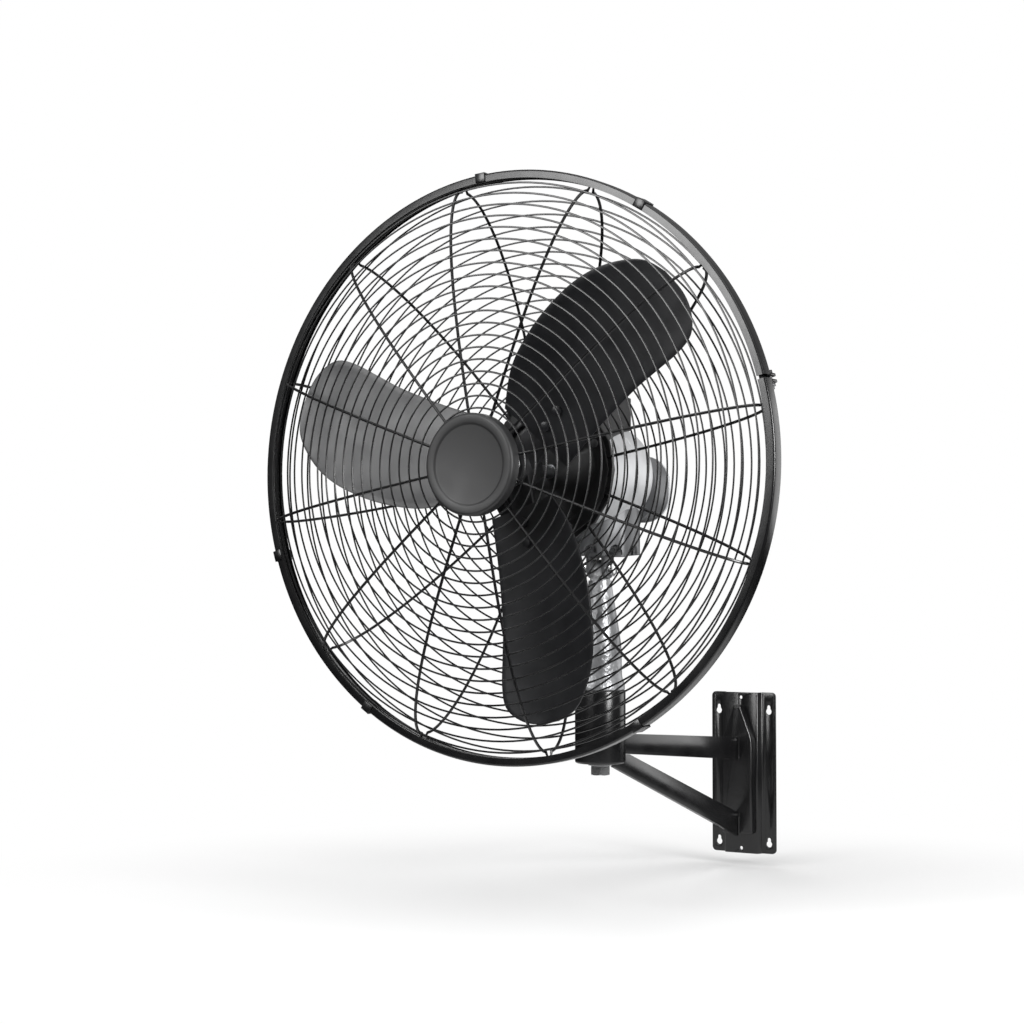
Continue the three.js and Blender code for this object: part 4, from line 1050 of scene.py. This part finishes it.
# ---------------------------------------------------------------- motor and gear case
@dataclass
class Motor:
    """The motor's shield, drum and hood, and the gear case behind it.

    Attributes:
        radius: The drum's radius.
        start: Where the drum starts behind the hoop's plane.
        end: Where it ends.
        wall: The drum's thickness.
        shoulder: The radius of its rounded rear edge.
        seam: Where its joint line starts and ends, from its end.
        shaft_hole: The radius of the hole for the shaft in its end.
        bearing_seat: The radius of the bearing's seat there.
    """

    radius: float = 64.0
    start: float = 103.1
    end: float = 251.1
    wall: float = 4.0
    shoulder: float = 12.0
    seam: Pair = (46.0, 44.0)
    shaft_hole: float = 9.0
    bearing_seat: float = 17.8

    def build(self) -> None:
        """Makes the motor's outside and finishes what is inside it."""
        self.drum()
        refine("motor_shield", Body.HEAD, SHIELD_PAINT, 0.8)
        refine("terminal_hood", Body.HEAD, PLASTIC, 2.0)
        for node, finish in {"stator_core": STEEL, "winding_front": COPPER, "winding_rear": COPPER,
                             "front_bearing": STEEL, "rear_bearing": STEEL, "run_capacitor": ZINC,
                             "pivot_bushing": BRONZE, "crank_gear": STEEL}.items():
            keep(node, finish)
        # The gear case gets the darkened cast silver, painted shade for the shade under the motor.
        refine("gear_case", Body.HEAD, SHADED_GEAR_CAST, 3.0)
        refine("gear_cover", Body.HEAD, MOTOR_CAST, 4.5)
        refine("crank_disc", Body.CRANK, ZINC, 0.4)
        refine("drag_link", Body.LINK, ZINC, 0.4)
        refine("pull_knob", Body.KNOB, PLASTIC, 0.8)

    def drum(self) -> None:
        """The drum, with a rounded rear shoulder and a joint line."""
        r, a, b, s = self.radius, self.start, self.end, self.shoulder
        inner, hole, seat = r - self.wall, self.shaft_hole, self.bearing_seat
        first, last = (b - back for back in self.seam)
        shoulder = [(r - s + u, b - s + v) for u, v in arc((0, 0), s, 0, 90, 10)]
        seam = [(r, first), (r - 0.8, first + 0.6), (r - 0.8, last - 0.6), (r, last)]
        profile = [(inner, a), (r - 0.5, a), (r, a + 0.5), *seam, *shoulder, (hole, b), (hole, b - 12.7),
                   (seat, b - 12.7), (seat, b - 15), (inner, b - 15), (inner, a)]
        drum = Solid().turn(Axis.Y, profile, steps=128)
        drum.piece("motor_shell_shown", HEAD_FRAME, Body.HEAD, MOTOR_CAST, "motor_shell")


# ---------------------------------------------------------------- rotor
@dataclass
class Rotor:
    """The blades on their hub, with the shaft through the motor.

    Attributes:
        phase: Where the first blade's middle lies, in degrees.
        sheet: The blades' thickness.
        base: The sheet's station at the middle.
        cone: How far the blades lean forward, as a slope.
        camber: How far the sheet bows.
        bow: Half the width that the bow spans.
        pitch: The blades' pitch at the middle of the fan and at the tip, in degrees.
        blades: How many blades there are.
        screws: How many screws hold them.
        rows: Steps along a blade's mesh.
        columns: Steps across it.
        trailing: The edge on the anticlockwise side, as (out, across).
        leading: The edge on the clockwise side.
    """

    phase: float = 45.5
    sheet: float = 2.0
    base: float = 13.0
    cone: float = 0.1
    camber: float = 7.0
    bow: float = 80.0
    pitch: Pair = (14.0, 9.0)
    blades: int = 3
    screws: int = 6
    rows: int = 60
    columns: int = 20
    trailing: tuple[Pair, ...] = ((48, 50), (95, 72), (150, 79), (203, 75), (242, 64), (273, 45),
                                  (293, 23), (300, -4))
    leading: tuple[Pair, ...] = ((48, -48), (110, -51), (171, -58), (208, -66), (244, -74), (269, -73),
                                 (287, -57), (297, -34), (300, -4))

    def build(self) -> None:
        """Makes the blades, and finishes the hub, its screws and the shaft."""
        for number in range(self.blades):
            self.blade(number)
        refine("blade_hub", Body.ROTOR, HUB_CAST, 0.8)
        for number in range(self.screws):
            refine(f"blade_screw_{number + 1}", Body.ROTOR, BLADE_PAINT, 0.5)
        refine("hub_nut", Body.ROTOR, ZINC, 0.5)
        keep("rotor_shaft", STEEL)
        keep("rotor_core", STEEL)

    def surface(self, out: float, across: float) -> Triple:
        """A place on a blade's middle sheet.

        Args:
            out: How far out it lies.
            across: How far across, from the blade's middle line.

        Returns:
            The place, for a blade that points along X.
        """
        share = out / self.trailing[-1][0]
        pitch = math.radians(self.pitch[0] + (self.pitch[1] - self.pitch[0]) * share)
        bow = self.camber * (1 - (across / self.bow) ** 2)
        return out, self.base - self.cone * out - math.tan(pitch) * across + bow, across

    def blade(self, number: int) -> None:
        """A blade: a grid drawn to the outline and the bow, then given its thickness.

        Args:
            number: Which blade, from 0.
        """
        lead, trail = spline(self.leading, self.rows + 1), spline(self.trailing, self.rows + 1)
        shape = bmesh.new()
        bmesh.ops.create_grid(shape, x_segments=self.rows, y_segments=self.columns, size=0.5)
        for vert in shape.verts:
            i = round((vert.co.x + 0.5) * self.rows)
            here = Vector(lead[i]).lerp(Vector(trail[i]), vert.co.y + 0.5)
            vert.co = self.surface(*here)
        bmesh.ops.remove_doubles(shape, verts=shape.verts[:], dist=0.05)
        bmesh.ops.recalc_face_normals(shape, faces=shape.faces[:])
        bmesh.ops.solidify(shape, geom=shape.faces[:], thickness=self.sheet)
        middle = sum((v.co.y - self.surface(v.co.x, v.co.z)[1] for v in shape.verts), 0.0) / len(shape.verts)
        bmesh.ops.translate(shape, vec=(0, -middle, 0), verts=shape.verts[:])
        blade = Solid().absorb(shape).soften(0.6, 2, sharper=60)
        blade.spun(self.phase + 360 / self.blades * number)
        node = f"blade_{number + 1}"
        blade.piece(f"{node}_shown", HEAD_FRAME, Body.ROTOR, BLADE_PAINT, node)


# ---------------------------------------------------------------- the studio
@dataclass
class Studio:
    """The pale floor, the soft lamps and the camera.

    Attributes:
        camera: Where the camera stands, in metres.
        looks: The way that it looks.
        lens: Its focal length, in millimetres.
        floor: Where the floor's middle lies, in metres.
        floor_size: How far it reaches each way.
        floor_fade: How far out it starts and ends to turn into the white background.
        floor_tone: How bright its paint is.
        sun: The strength of the wide soft sun.
        sun_place: The side that it shines from.
        sun_spread: How wide it is, in degrees.
        sky: The sky's strength under the horizon and overhead, as the fan sees it.
        boxes: The soft boxes: name, place, size and power.
        target: What they face.
    """

    camera: Triple = (1.2877, -2.6996, 0.2628)
    looks: Triple = (-0.5266, 0.8494, 0.0349)
    lens: float = 73.83
    floor: Triple = (0.0, -0.45, -0.13)
    floor_size: float = 60.0
    floor_fade: Pair = (0.4, 0.95)
    floor_tone: float = 0.8
    sun: float = 1.4
    sun_place: Triple = (0.8, -0.9, 3.0)
    sun_spread: float = 70.0
    sky: Pair = (0.04, 0.4)
    boxes: tuple[tuple[str, Triple, float, float], ...] = (
        ("front", (-1.03, -3.54, 1.53), 1.5, 78.0),
        ("back", (-1.6, 1.6, 2.2), 1.2, 12.0),
        ("side", (2.4, -1.3, 0.75), 0.8, 60.0),
        ("rear", (1.5, 2.0, 0.5), 1.5, 14.0),
    )
    target: Triple = (0.0, -0.55, 0.35)

    def build(self) -> None:
        """Sets up everything round the fan."""
        scene = bpy.context.scene
        scene.view_settings.view_transform = "Standard"
        self.place_camera(scene)
        self.lay_floor()
        self.light_world(scene)
        self.hang_lamps()

    def place_camera(self, scene: bpy.types.Scene) -> None:
        """Stands the camera where the photographer stood.

        Args:
            scene: The scene that it films.
        """
        data = bpy.data.cameras.new("camera")
        data.lens = self.lens
        data.sensor_width = 36.0
        data.clip_end = 60.0
        camera = bpy.data.objects.new("camera", data)
        camera.location = self.camera
        camera.rotation_mode = "QUATERNION"
        camera.rotation_quaternion = Vector(self.looks).to_track_quat("-Z", "Y")
        scene.collection.objects.link(camera)
        scene.camera = camera

    def lay_floor(self) -> None:
        """A wide pale floor that keeps the fan's shadow and meets the background unseen."""
        shape = bmesh.new()
        bmesh.ops.create_grid(shape, x_segments=1, y_segments=1, size=self.floor_size)
        mesh = bpy.data.meshes.new("floor")
        shape.to_mesh(mesh)
        shape.free()
        floor = bpy.data.objects.new("floor", mesh)
        floor.location = self.floor
        bpy.context.scene.collection.objects.link(floor)
        paint = bpy.data.materials.new("floor_white")
        paint.use_nodes = True
        nodes, links = paint.node_tree.nodes, paint.node_tree.links
        shader = nodes["Principled BSDF"]
        shader.inputs["Base Color"].default_value = (*(self.floor_tone,) * 3, 1)
        shader.inputs["Roughness"].default_value = 0.95
        shader.inputs["Specular IOR Level"].default_value = 0.1
        length = nodes.new("ShaderNodeVectorMath")
        length.operation = "LENGTH"
        links.new(nodes.new("ShaderNodeTexCoord").outputs["Object"], length.inputs[0])
        far = nodes.new("ShaderNodeMapRange")
        far.interpolation_type = "SMOOTHSTEP"
        far.inputs["From Min"].default_value, far.inputs["From Max"].default_value = self.floor_fade
        links.new(length.outputs["Value"], far.inputs["Value"])
        white = nodes.new("ShaderNodeEmission")
        links.new(nodes.new("ShaderNodeLightPath").outputs["Is Camera Ray"], white.inputs["Strength"])
        blend = nodes.new("ShaderNodeMixShader")
        links.new(far.outputs["Result"], blend.inputs["Fac"])
        links.new(shader.outputs["BSDF"], blend.inputs[1])
        links.new(white.outputs["Emission"], blend.inputs[2])
        links.new(blend.outputs["Shader"], nodes["Material Output"].inputs["Surface"])
        mesh.materials.append(paint)

    def light_world(self, scene: bpy.types.Scene) -> None:
        """A sky that is white to the camera, and to the fan a soft light from overhead.

        Args:
            scene: The scene that it lights.
        """
        world = bpy.data.worlds.new("studio")
        world.use_nodes = True
        nodes, links = world.node_tree.nodes, world.node_tree.links
        sky = nodes["Background"]
        seen = nodes.new("ShaderNodeLightPath")
        upward = nodes.new("ShaderNodeSeparateXYZ")
        links.new(nodes.new("ShaderNodeTexCoord").outputs["Generated"], upward.inputs["Vector"])
        soft = nodes.new("ShaderNodeMapRange")
        for socket, value in zip(RANGE_SOCKETS, (-0.4, 1.0, *self.sky)):
            soft.inputs[socket].default_value = value
        links.new(upward.outputs["Z"], soft.inputs["Value"])
        shown = nodes.new("ShaderNodeMix")
        links.new(seen.outputs["Is Camera Ray"], shown.inputs["Factor"])
        links.new(soft.outputs["Result"], shown.inputs["A"])
        shown.inputs["B"].default_value = 1.0
        sky.inputs["Color"].default_value = (1, 1, 1, 1)
        links.new(shown.outputs["Result"], sky.inputs["Strength"])
        scene.world = world

    def hang_lamps(self) -> None:
        """A wide soft sun for the floor's even light, and soft boxes that shine in the paint."""
        sun = bpy.data.lights.new("sun", "SUN")
        sun.energy = self.sun
        sun.angle = math.radians(self.sun_spread)
        self.aim(sun, self.sun_place, (0, 0, 0))
        for name, place, size, power in self.boxes:
            data = bpy.data.lights.new(name, "AREA")
            data.size = size
            data.energy = power
            self.aim(data, place, self.target)

    @staticmethod
    def aim(data: bpy.types.Light, place: Triple, target: Triple) -> None:
        """Hangs a lamp.

        Args:
            data: The lamp's light.
            place: Where it hangs.
            target: What it faces.
        """
        lamp = bpy.data.objects.new(data.name, data)
        lamp.location = place
        lamp.rotation_mode = "QUATERNION"
        lamp.rotation_quaternion = (Vector(target) - Vector(place)).to_track_quat("-Z", "Y")
        bpy.context.scene.collection.objects.link(lamp)


def main() -> None:
    """Builds the fan's sub-assemblies in order, then the studio."""
    logging.basicConfig(level=logging.INFO, format="%(name)s %(message)s")
    for part in (WallBracket(), Neck(), Cage(), Motor(), Rotor(), Studio()):
        LOG.info("building %s", type(part).__name__)
        part.build()


if __name__ == "__main__":
    main()
